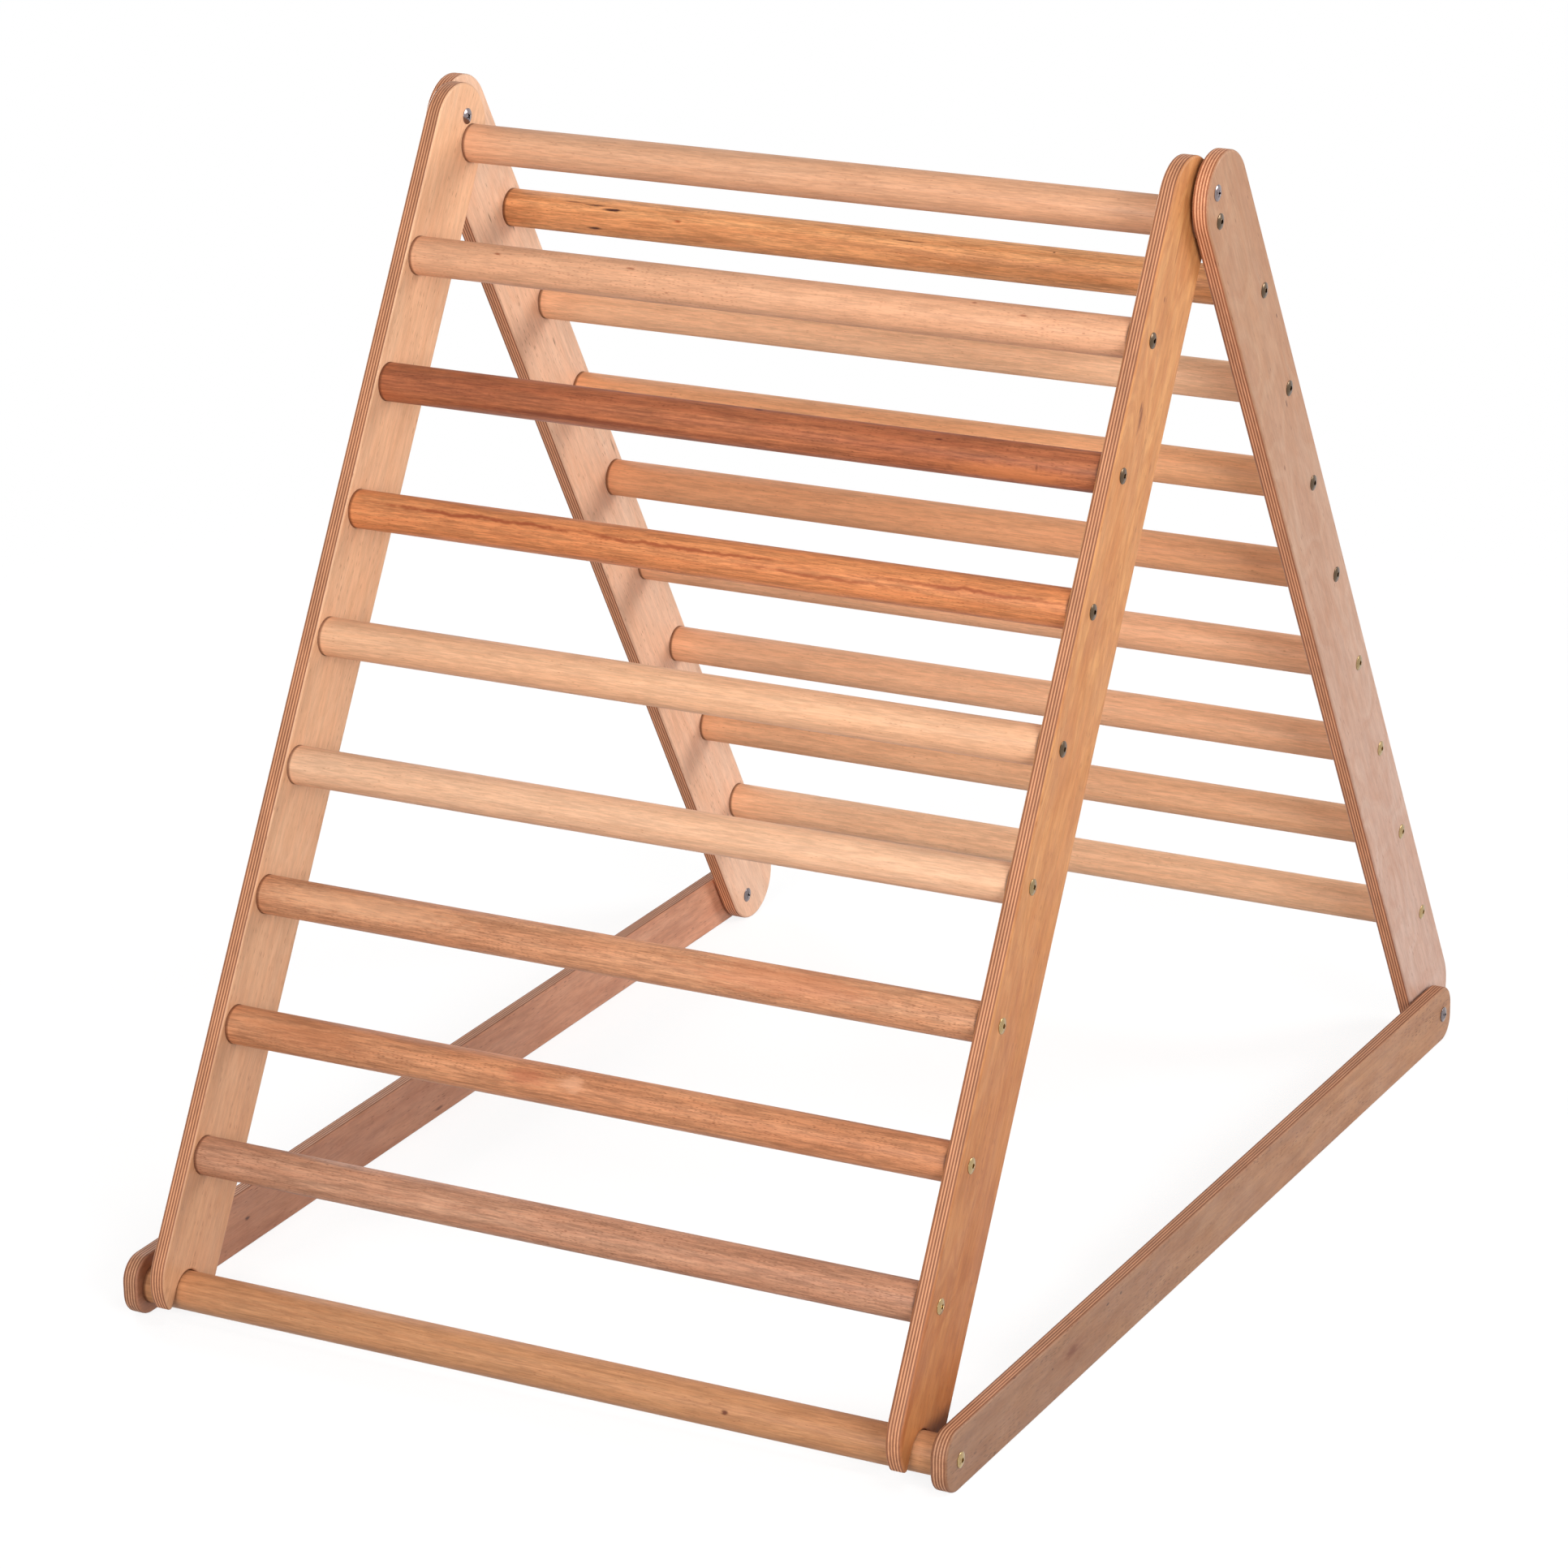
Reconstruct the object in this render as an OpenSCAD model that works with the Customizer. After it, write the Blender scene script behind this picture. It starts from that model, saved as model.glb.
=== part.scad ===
// Folding climbing triangle for small children. Two ladders of round rungs share a top rung,
// which is the hinge of the front one. A floor frame hangs on corner bolts in the rear ladder's
// rails, and the front ladder's notched feet hook over its cross rung.
// Millimetres. +Z is up, X runs along the rungs, and the front ladder leans back from -Y.
// The origin is on the floor, in the middle of the footprint.
//
// The plywood lies in three layers on each side, from the inside out:
// front rails, then rear rails, then the arms of the floor frame.

/* [Plywood] */
// Clear width between the inner faces of the front rails
inner_width = 705; // [500:5:900]
// Thickness of every rail and arm
ply = 15; // [12:0.5:18]
// Gap between neighbouring layers of plywood
layer_gap = 3; // [2.8:0.1:4.5]

/* [Ladders] */
// Lean of the front ladder from the vertical, in degrees
front_lean = 30; // [27:0.1:32]
// Lean of the rear ladder from the vertical, in degrees
rear_lean = 29.7; // [27:0.1:32]
// Width of the rails
rail_width = 86; // [82:1:100]
// Rise of the centre of a rail's round top above the top rung
top_rise = 5; // [2:0.5:12]
// Distance from the top rung down the rail to the first rung
top_pitch = 120; // [112:1:130]
// Distance from rung to rung
rung_pitch = 118; // [105:1:125]
// Diameter of every rung
rung_d = 35; // [30:0.5:36]
// Distance from a rung's axis to the climbing edge of its rail
rung_edge = 21; // [20:0.5:24]
// Wood left between the top rung's hole and a rail's inner edge
pivot_wall = 4; // [3:0.5:6]
// Depth of the blind seat that holds a rung's end
seat_depth = 5; // [3:0.5:8]

/* [Floor frame] */
// Height of the arms
arm_height = 55; // [50:1:62]
// Length of the arms past the cross rung
front_overrun = 27; // [24:1:36]
// Length of the arms past the corner bolts
rear_overrun = 21; // [18:1:36]
// Corner radius of the arms' ends
arm_corner_r = 22; // [8:1:24]
// Height of the cross rung's axis above the floor
cross_height = 26; // [24:0.5:29]
// Distance of the corner bolts from the top rung's line, towards the rear ladder's climbing edge
corner_shift = 3.5; // [0:0.5:12]
// Distance of the notches' centreline from the front rails', towards the rails' inner edge
notch_shift = 3; // [0:0.5:6]
// Radius of the rounded tip in front of each notch
toe_r = 3; // [2:0.5:5]
// Radius of the rounded tip behind each notch
heel_r = 8; // [4:0.5:9]

/* [Fasteners] */
// Diameter of a rung screw's shank
screw_d = 6; // [5:0.5:7]
// Length of a rung screw inside the rung
screw_reach = 45; // [30:1:60]
// Diameter of a rung screw's domed head
screw_head_d = 14; // [12:0.5:15]
// Width across the flats of the hexagon socket
socket_w = 4; // [3:0.5:4]
// Diameter of the connector bolts' domed heads
bolt_head_d = 14.5; // [13:0.5:16]
// Outer diameter of the connector bolts' sleeves
sleeve_d = 8; // [7.5:0.5:9]
// Diameter of the screw inside a sleeve
sleeve_screw_d = 6; // [5:0.5:6.5]
// Height of every domed head
head_h = 2; // [1.6:0.1:2.2]
// Backward shift of the lock bolts from the top rung's axis, negative is forward
lock_shift = -6; // [-10:0.5:0]
// Upright gap between the top rung and the lock bolts' washers
lock_gap = 0.5; // [0.5:0.5:4]
// Diameter of the spacer washers
spacer_d = 16; // [14:0.5:16]

/* [Fits] */
// Radial clearance of the rungs' ends, the screws and the sleeves in the wood that holds them
seat_clearance = 0.1; // [0.05:0.05:0.2]
// Radial running clearance of the top rung in the front rails and of the corner bolts in the arms
pivot_clearance = 0.1; // [0.04:0.02:0.1]
// Clearance between the cross rung and the notches that hook over it
notch_clearance = 0.8; // [0.6:0.1:1.5]
// Play along the bolts between a layer and the washer or head that it turns against
turning_play = 0.3; // [0.2:0.1:0.5]

/* [Hidden] */
$fn = 96;

// Sides of the object, as the sign of X
left = -1;
right = 1;
sides = [left, right];
// Rungs of each ladder below the top rung
rung_count = 8;
// Length by which a cutting tool runs past the surface that it cuts
cut = 1;

// Inner faces of the three layers of plywood, from the middle of the object
front_face = inner_width / 2;
rear_face = front_face + ply + layer_gap;
arm_face = rear_face + ply + layer_gap;

// Distance from the top rung's line to the rungs' line, across the rail
rung_line = rail_width - rung_edge - rung_d / 2 - pivot_wall;
// Distance from the top rung's line to the rail's centreline
rail_centre = rung_line + rung_edge - rail_width / 2;
rail_r = rail_width / 2;

// Distances from the top rung's line to the notches, down the rail and across it. The cross rung
// lies in them, one pitch below the last front rung.
base_step = top_pitch + rung_count * rung_pitch;
notch_line = rail_centre - notch_shift;
notch_r = rung_d / 2 + notch_clearance;

// Heights below the top rung: the cross rung and the floor
base_drop = base_step * cos(front_lean) - notch_line * sin(front_lean);
floor_drop = base_drop + cross_height;

// Distances down the rails from the top rung's line to the centres of the round feet, whose
// circles touch the floor, and to the corner bolts, at half the height of the arms
front_foot = (floor_drop - rail_r + rail_centre * sin(front_lean)) / cos(front_lean);
rear_foot = (floor_drop - rail_r + rail_centre * sin(rear_lean)) / cos(rear_lean);
corner_drop = floor_drop - arm_height / 2;
corner_step = (corner_drop + corner_shift * sin(rear_lean)) / cos(rear_lean);

// The top rung's axis stands back from the middle of the footprint by top_y
front_reach = front_foot * sin(front_lean) + rail_centre * cos(front_lean) + rail_r;
rear_reach = rear_foot * sin(rear_lean) + rail_centre * cos(rear_lean) + rail_r;
top_y = (front_reach - rear_reach) / 2;
top = [0, top_y, floor_drop];

// Axes of the cross rung, the corner bolts and the lock bolts
base_axis = front_point(base_step, notch_line);
corner_axis = rear_point(corner_step, corner_shift);
lock_rise = rung_d / 2 + lock_gap + spacer_d / 2;
lock_axis = top + [0, lock_shift, lock_rise];

// Thin rim under every head's dome, and the recesses for the drivers
rim_h = 0.5;
socket_depth = 1.6;
cross_length = 7;
cross_width = 1.6;
cross_depth = 1;
// Solid end of a sleeve under its head, and how far a corner bolt's sleeve ends short of the
// face under the opposite head
sleeve_end = 1;
sleeve_setback = 1;

ply_colour = [0.89, 0.66, 0.46];
light_beech = [0.88, 0.62, 0.38];
brown_beech = [0.70, 0.42, 0.26];
red_beech = [0.55, 0.27, 0.16];
zinc_colour = [0.80, 0.74, 0.58];
chrome_colour = [0.85, 0.85, 0.87];
nylon_colour = [0.25, 0.24, 0.23];
front_colours = [
    brown_beech, red_beech, brown_beech, light_beech,
    light_beech, brown_beech, brown_beech, brown_beech
];

// A point on a ladder: down is measured along the rail from the top rung,
// out is measured across the rail towards the climbing edge
function front_point(down, out) = [
    0,
    top_y - down * sin(front_lean) - out * cos(front_lean),
    floor_drop - down * cos(front_lean) + out * sin(front_lean)
];
function rear_point(down, out) = [
    0,
    top_y + down * sin(rear_lean) + out * cos(rear_lean),
    floor_drop - down * cos(rear_lean) + out * sin(rear_lean)
];
function rung_step(i) = top_pitch + (i - 1) * rung_pitch;
function front_rung_axis(i) = front_point(rung_step(i), rung_line);
function rear_rung_axis(i) = rear_point(rung_step(i), rung_line);
function side_name(side) = side == left ? "left" : "right";

// A drawing in the YZ plane, made into one board whose inner face is at the distance face
module board(side, face) {
    translate([side == right ? face : -face - ply, 0, 0])
        rotate([90, 0, 90])
            linear_extrude(ply)
                children();
}

// Turns what is drawn along +Z outwards along X on one side
module outward(side, x, axis) {
    translate([side * x, axis[1], axis[2]])
        rotate([0, side * 90, 0])
            children();
}

// Blind seat for a rung's end in the inner face of a board, with the screw's hole behind it
module rung_seat(side, face, axis) {
    outward(side, face - cut, axis)
        cylinder(d = rung_d + 2 * seat_clearance, h = seat_depth + cut);
    screw_hole(side, face, axis);
}

// Hole for a rung screw through a board
module screw_hole(side, face, axis) {
    outward(side, face - cut, axis)
        cylinder(d = screw_d + 2 * seat_clearance, h = ply + 2 * cut);
}

// Hole for a connector bolt's sleeve through a board
module sleeve_hole(side, face, axis, clearance) {
    outward(side, face - cut, axis)
        cylinder(d = sleeve_d + 2 * clearance, h = ply + 2 * cut);
}

// A straight board with round ends that hangs from the pivot at the drawing's origin,
// with its centreline at the distance centre and its foot's centre at the depth foot
module rail_outline(centre, foot) {
    translate([centre - rail_r, -foot])
        square([rail_width, foot + top_rise]);
    translate([centre, top_rise])
        circle(r = rail_r);
    translate([centre, -foot])
        circle(r = rail_r);
}

// The notch in a front rail's foot, round over the cross rung and open below
module foot_notch() {
    translate([-notch_line, -base_step])
        circle(r = notch_r);
    translate([-notch_line - notch_r, -base_step - rail_width])
        square([2 * notch_r, rail_width]);
}

// What rounds a prong's tip with the radius r, drawn round the foot's centre. The prong lies
// between the foot's circle and a straight side at the distance edge from the centreline.
module tip_waste(edge, r) {
    tip_x = edge + r;
    tip_y = -sqrt(pow(rail_r - r, 2) - pow(tip_x, 2));
    difference() {
        polygon([[tip_x, tip_y], [edge - cut, tip_y], [edge - cut, 2 * tip_y - rail_r], 2 * [tip_x, tip_y]]);
        translate([tip_x, tip_y])
            circle(r = r);
    }
}

// The outline of a front rail: its prongs, the toe in front of the notch and the heel behind it,
// are rounded
module front_rail_outline() {
    difference() {
        rail_outline(-rail_centre, front_foot);
        foot_notch();
        translate([-rail_centre, -front_foot]) {
            mirror([1, 0])
                tip_waste(notch_r - notch_shift, toe_r);
            tip_waste(notch_r + notch_shift, heel_r);
        }
    }
}

module front_rail(side) {
    color(ply_colour)
        difference() {
            board(side, front_face)
                translate([top_y, floor_drop])
                    rotate(-front_lean)
                        front_rail_outline();
            outward(side, front_face - cut, top)
                cylinder(d = rung_d + 2 * pivot_clearance, h = ply + 2 * cut);
            sleeve_hole(side, front_face, lock_axis, seat_clearance);
            for (i = [1:rung_count])
                rung_seat(side, front_face, front_rung_axis(i));
        }
}

module rear_rail(side) {
    color(ply_colour)
        difference() {
            board(side, rear_face)
                translate([top_y, floor_drop])
                    rotate(rear_lean)
                        rail_outline(rail_centre, rear_foot);
            rung_seat(side, rear_face, top);
            sleeve_hole(side, rear_face, lock_axis, seat_clearance);
            sleeve_hole(side, rear_face, corner_axis, seat_clearance);
            for (i = [1:rung_count])
                rung_seat(side, rear_face, rear_rung_axis(i));
        }
}

// Side view of an arm: a rectangle with round corners that lies on the floor
module arm_outline() {
    front_end = base_axis[1] - front_overrun;
    rear_end = corner_axis[1] + rear_overrun;
    translate([front_end + arm_corner_r, 0])
        square([rear_end - front_end - 2 * arm_corner_r, arm_height]);
    translate([front_end, arm_corner_r])
        square([rear_end - front_end, arm_height - 2 * arm_corner_r]);
    for (y = [front_end + arm_corner_r, rear_end - arm_corner_r])
        for (z = [arm_corner_r, arm_height - arm_corner_r])
            translate([y, z])
                circle(r = arm_corner_r);
}

module base_arm(side) {
    color(ply_colour)
        difference() {
            board(side, arm_face)
                arm_outline();
            rung_seat(side, arm_face, base_axis);
            sleeve_hole(side, arm_face, corner_axis, pivot_clearance);
        }
}

// A rung along X with a screw's hole in each end; its ends fill the seats of the boards at face
module rung(face, axis) {
    half = face + seat_depth;
    translate([-half, axis[1], axis[2]])
        rotate([0, 90, 0])
            difference() {
                cylinder(d = rung_d, h = 2 * half);
                for (z = [-cut, 2 * half - screw_reach])
                    translate([0, 0, z])
                        cylinder(d = screw_d + 2 * seat_clearance, h = screw_reach + cut);
            }
}

module front_rung(i) {
    color(front_colours[i - 1])
        rung(front_face, front_rung_axis(i));
}

module rear_rung(i) {
    color(light_beech)
        rung(rear_face, rear_rung_axis(i));
}

module top_rung() {
    color(light_beech)
        rung(rear_face, top);
}

module base_rung() {
    color(light_beech)
        rung(arm_face, base_axis);
}

// A shallow dome on a thin rim, standing on the XY plane
module domed_head(d) {
    dome_h = head_h - rim_h;
    dome_r = (d * d / 4 + dome_h * dome_h) / (2 * dome_h);
    cylinder(d = d, h = rim_h);
    rotate_extrude()
        intersection() {
            translate([0, head_h - dome_r])
                circle(r = dome_r);
            translate([0, rim_h])
                square([d / 2, dome_h]);
        }
}

// A rung screw through the board at face, with a hexagon socket in its head
module rung_screw(side, face, axis) {
    shank = ply - seat_depth + screw_reach;
    outward(side, face + ply, axis)
        difference() {
            union() {
                domed_head(screw_head_d);
                translate([0, 0, -shank])
                    cylinder(d = screw_d, h = shank + rim_h);
            }
            translate([0, 0, head_h - socket_depth])
                cylinder(d = socket_w / cos(30), h = socket_depth + cut, $fn = 6);
        }
}

module front_rung_screws() {
    color(zinc_colour)
        for (side = sides)
            for (i = [1:rung_count])
                rung_screw(side, front_face, front_rung_axis(i));
}

module rear_rung_screws() {
    color(zinc_colour)
        for (side = sides)
            for (i = [1:rung_count])
                rung_screw(side, rear_face, rear_rung_axis(i));
}

module top_rung_screws() {
    color(zinc_colour)
        for (side = sides)
            rung_screw(side, rear_face, top);
}

module base_rung_screws() {
    color(zinc_colour)
        for (side = sides)
            rung_screw(side, arm_face, base_axis);
}

// The crossed slots of a driver's recess in a head that stands on the XY plane
module cross_recess() {
    for (turn = [0, 90])
        rotate(turn)
            translate([-cross_length / 2, -cross_width / 2, head_h - cross_depth])
                cube([cross_length, cross_width, cross_depth + cut]);
}

// Half of a connector bolt with its head outside: a plain shank of the length reach
module connector_screw(d, reach) {
    difference() {
        union() {
            domed_head(bolt_head_d);
            translate([0, 0, -reach])
                cylinder(d = d, h = reach + rim_h);
        }
        cross_recess();
    }
}

// Half of a connector bolt: a sleeve of the length reach with a blind bore for the screw
module connector_sleeve(reach) {
    difference() {
        connector_screw(sleeve_d, reach);
        translate([0, 0, -reach - cut])
            cylinder(d = sleeve_screw_d + 2 * seat_clearance, h = reach + cut - sleeve_end);
    }
}

// Lock bolt screws, from the rear rails' outer faces through the washers
module lock_bolt_screws() {
    color(chrome_colour)
        for (side = sides)
            outward(side, rear_face + ply, lock_axis)
                connector_screw(sleeve_d, ply + layer_gap - turning_play);
}

// Lock bolt sleeves, from the front rails' inner faces to their outer faces
module lock_bolt_sleeves() {
    color(chrome_colour)
        for (side = sides)
            outward(-side, -front_face, lock_axis)
                connector_sleeve(ply);
}

// Corner bolt sleeves, from the rear rails' inner faces through the arms
module corner_bolt_sleeves() {
    color(chrome_colour)
        for (side = sides)
            outward(-side, -rear_face, corner_axis)
                connector_sleeve(2 * ply + layer_gap - sleeve_setback);
}

// Corner bolt screws, from the arms' outer faces into the sleeves
module corner_bolt_screws() {
    color(chrome_colour)
        for (side = sides)
            outward(side, arm_face + ply + turning_play, corner_axis)
                connector_screw(sleeve_screw_d, ply + layer_gap);
}

// A washer on a sleeve, which fills the gap between two layers but for the play
module spacer() {
    difference() {
        cylinder(d = spacer_d, h = layer_gap - turning_play);
        translate([0, 0, -cut])
            cylinder(d = sleeve_d + 2 * seat_clearance, h = layer_gap + 2 * cut);
    }
}

// Washers on the lock bolts, between the front rails and the rear rails
module lock_spacers() {
    color(nylon_colour)
        for (side = sides)
            outward(-side, -rear_face, lock_axis)
                spacer();
}

// Washers on the corner bolts, between the rear rails and the arms
module corner_spacers() {
    color(nylon_colour)
        for (side = sides)
            outward(side, rear_face + ply, corner_axis)
                spacer();
}

for (side = sides) {
    front_rail(side);
    rear_rail(side);
    base_arm(side);
}
for (i = [1:rung_count]) {
    front_rung(i);
    rear_rung(i);
}
top_rung();
base_rung();
front_rung_screws();
rear_rung_screws();
top_rung_screws();
base_rung_screws();
lock_bolt_screws();
lock_bolt_sleeves();
lock_spacers();
corner_bolt_screws();
corner_bolt_sleeves();
corner_spacers();
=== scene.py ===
"""Looks of the folding climbing triangle.

Two ladders of beech rungs in plywood rails stand on a floor frame. Metres, in the frame of the
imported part: +Z is up, X runs along the rungs, and the front ladder leans back from -Y. Every piece
is built anew with softened edges and its own finish, and rides on the body of its node.
"""

from __future__ import annotations

import logging
import math
from collections.abc import Callable, Sequence
from dataclasses import KW_ONLY, dataclass, field
from enum import Enum, IntEnum

import bmesh
import bpy
from mathutils import Matrix, Vector
from mathutils.geometry import tessellate_polygon


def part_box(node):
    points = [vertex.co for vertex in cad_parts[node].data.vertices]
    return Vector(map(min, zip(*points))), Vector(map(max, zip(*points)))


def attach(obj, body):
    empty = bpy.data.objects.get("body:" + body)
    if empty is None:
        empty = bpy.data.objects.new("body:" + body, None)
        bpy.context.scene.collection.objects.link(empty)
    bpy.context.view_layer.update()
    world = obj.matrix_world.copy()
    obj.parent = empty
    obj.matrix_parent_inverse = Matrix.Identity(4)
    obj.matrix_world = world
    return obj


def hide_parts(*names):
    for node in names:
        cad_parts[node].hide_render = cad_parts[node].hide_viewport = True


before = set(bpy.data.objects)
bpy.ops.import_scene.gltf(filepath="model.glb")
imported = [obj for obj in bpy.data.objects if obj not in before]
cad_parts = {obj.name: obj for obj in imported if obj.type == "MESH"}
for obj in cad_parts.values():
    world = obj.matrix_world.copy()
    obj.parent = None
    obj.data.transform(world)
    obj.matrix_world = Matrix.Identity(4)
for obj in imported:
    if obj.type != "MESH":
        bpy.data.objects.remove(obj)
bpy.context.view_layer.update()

log = logging.getLogger("triangle")

PLACE = "wood_place"
EASED = "eased"
OWN = "own_number"
MM = 0.001
QUARTER = math.pi / 2
FLAT_RIM = 0.0003
SHARP_ANGLE = 32.0
GRAIN_TURN = 2.4
SLIGHT = 1e-5
MERGE_REACH = 1e-6

Colour = tuple[float, float, float]
Point2 = tuple[float, float]
NodeTree = bpy.types.NodeTree
Socket = bpy.types.NodeSocket


class Side(IntEnum):
    """Sides of the object, as the sign of X."""

    LEFT = -1
    RIGHT = 1

    @property
    def word(self) -> str:
        """The side's name, as the pieces carry it."""
        return self.name.lower()


class Driver(IntEnum):
    """Recess for the driver in a fastener's head, as the number of its corners."""

    CROSS = 4
    HEXAGON = 6


class Body(str, Enum):
    """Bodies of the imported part."""

    REAR = "rear_ladder"
    FRONT = "front_ladder"
    FLOOR = "base_frame"


def srgb(red: int, green: int, blue: int) -> Colour:
    """Turns a colour as a screen shows it, 0 to 255, into the linear one that shaders take."""
    shown = [value / 255 for value in (red, green, blue)]
    return tuple(v / 12.92 if v <= 0.04045 else ((v + 0.055) / 1.055) ** 2.4 for v in shown)


# --------------------------------------
# Sizes


@dataclass(frozen=True)
class BoardPlane:
    """The plane that a board is drawn in: along and across it, as directions in the YZ plane.

    Args:
        origin: Point of the object where both distances are zero.
        along: Direction of the board's length.
        across: Direction of the board's width.
    """

    origin: Vector
    along: Vector
    across: Vector

    def point(self, along: float, across: float) -> Vector:
        """Point of the object at the distances along and across the board."""
        return self.origin + self.along * along + self.across * across

    def local(self, point: Vector) -> Point2:
        """Distances along and across the board of a point of the object."""
        offset = point - self.origin
        return offset.dot(self.along), offset.dot(self.across)


@dataclass(frozen=True)
class TriangleSizes:
    """Driving sizes of the triangle, in metres and degrees, and what follows from them."""

    inner_width: float = 0.705
    ply: float = 0.015
    layer_gap: float = 0.003
    front_lean: float = 30.0
    rear_lean: float = 29.7
    rail_width: float = 0.086
    top_rise: float = 0.005
    top_pitch: float = 0.120
    rung_pitch: float = 0.118
    rung_count: int = 8
    rung_d: float = 0.035
    rung_edge: float = 0.021
    pivot_wall: float = 0.004
    seat_depth: float = 0.005
    arm_height: float = 0.055
    front_overrun: float = 0.027
    rear_overrun: float = 0.021
    arm_corner_r: float = 0.022
    cross_height: float = 0.026
    corner_shift: float = 0.0035
    notch_shift: float = 0.003
    toe_r: float = 0.003
    heel_r: float = 0.008
    screw_d: float = 0.006
    screw_reach: float = 0.045
    screw_head_d: float = 0.014
    socket_w: float = 0.004
    bolt_head_d: float = 0.0145
    sleeve_d: float = 0.008
    sleeve_screw_d: float = 0.006
    head_h: float = 0.002
    lock_shift: float = -0.006
    lock_gap: float = 0.0005
    spacer_d: float = 0.016
    seat_clearance: float = 0.0001
    pivot_clearance: float = 0.0001
    notch_clearance: float = 0.0008
    turning_play: float = 0.0003
    sleeve_end: float = 0.001
    sleeve_setback: float = 0.001

    @property
    def front_face(self) -> float:
        """Distance of the front rails' inner faces from the middle."""
        return self.inner_width / 2

    @property
    def rear_face(self) -> float:
        """Distance of the rear rails' inner faces from the middle."""
        return self.front_face + self.ply + self.layer_gap

    @property
    def arm_face(self) -> float:
        """Distance of the arms' inner faces from the middle."""
        return self.rear_face + self.ply + self.layer_gap

    @property
    def rung_line(self) -> float:
        """Distance from the top rung's line to the rungs' line, across a rail."""
        return self.rail_width - self.rung_edge - self.rung_d / 2 - self.pivot_wall

    @property
    def rail_centre(self) -> float:
        """Distance from the top rung's line to a rail's centreline."""
        return self.rung_line + self.rung_edge - self.rail_width / 2

    @property
    def rail_r(self) -> float:
        """Radius of the rails' round ends."""
        return self.rail_width / 2

    @property
    def base_step(self) -> float:
        """Distance down the front rails to the cross rung."""
        return self.top_pitch + self.rung_count * self.rung_pitch

    @property
    def notch_line(self) -> float:
        """Distance from the top rung's line to the notches' centreline, across a rail."""
        return self.rail_centre - self.notch_shift

    @property
    def notch_r(self) -> float:
        """Half width of the notches."""
        return self.rung_d / 2 + self.notch_clearance

    @property
    def top_height(self) -> float:
        """Height of the top rung over the floor."""
        lean = math.radians(self.front_lean)
        base_drop = self.base_step * math.cos(lean) - self.notch_line * math.sin(lean)
        return base_drop + self.cross_height

    def foot_step(self, lean: float) -> float:
        """Distance down a rail that leans so to the centre of its round foot, on the floor."""
        turn = math.radians(lean)
        return (self.top_height - self.rail_r + self.rail_centre * math.sin(turn)) / math.cos(turn)

    def foot_reach(self, lean: float) -> float:
        """Distance from the top rung to the outermost point of a foot, along Y."""
        turn = math.radians(lean)
        reach = self.foot_step(lean) * math.sin(turn) + self.rail_centre * math.cos(turn)
        return reach + self.rail_r

    @property
    def top(self) -> Vector:
        """Axis of the top rung, in the object's middle."""
        back = (self.foot_reach(self.front_lean) - self.foot_reach(self.rear_lean)) / 2
        return Vector((0, back, self.top_height))

    @property
    def front_plane(self) -> BoardPlane:
        """Down the front rails and across them, towards the climbing edge."""
        lean = math.radians(self.front_lean)
        down = Vector((0, -math.sin(lean), -math.cos(lean)))
        return BoardPlane(self.top, down, Vector((0, -math.cos(lean), math.sin(lean))))

    @property
    def rear_plane(self) -> BoardPlane:
        """Down the rear rails and across them, towards the climbing edge."""
        lean = math.radians(self.rear_lean)
        down = Vector((0, math.sin(lean), -math.cos(lean)))
        return BoardPlane(self.top, down, Vector((0, math.cos(lean), math.sin(lean))))

    @property
    def floor_plane(self) -> BoardPlane:
        """Backwards along the arms and up."""
        return BoardPlane(Vector((0, 0, 0)), Vector((0, 1, 0)), Vector((0, 0, 1)))

    def rung_step(self, number: int) -> float:
        """Distance down a rail to the rung of this number."""
        return self.top_pitch + (number - 1) * self.rung_pitch

    @property
    def rung_places(self) -> list[Point2]:
        """Places of a ladder's rungs, down and across its rails."""
        return [(self.rung_step(n), self.rung_line) for n in range(1, self.rung_count + 1)]

    @property
    def sleeve_bore(self) -> float:
        """Diameter of the bore in a connector bolt's sleeve."""
        return self.sleeve_screw_d + 2 * self.seat_clearance

    @property
    def base_axis(self) -> Vector:
        """Axis of the cross rung."""
        return self.front_plane.point(self.base_step, self.notch_line)

    @property
    def corner_axis(self) -> Vector:
        """Axis of the corner bolts, at half the height of the arms."""
        lean = math.radians(self.rear_lean)
        drop = self.top_height - self.arm_height / 2
        step = (drop + self.corner_shift * math.sin(lean)) / math.cos(lean)
        return self.rear_plane.point(step, self.corner_shift)

    @property
    def lock_axis(self) -> Vector:
        """Axis of the lock bolts."""
        rise = self.rung_d / 2 + self.lock_gap + self.spacer_d / 2
        return self.top + Vector((0, self.lock_shift, rise))


# --------------------------------------
# Drawing of node trees


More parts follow.
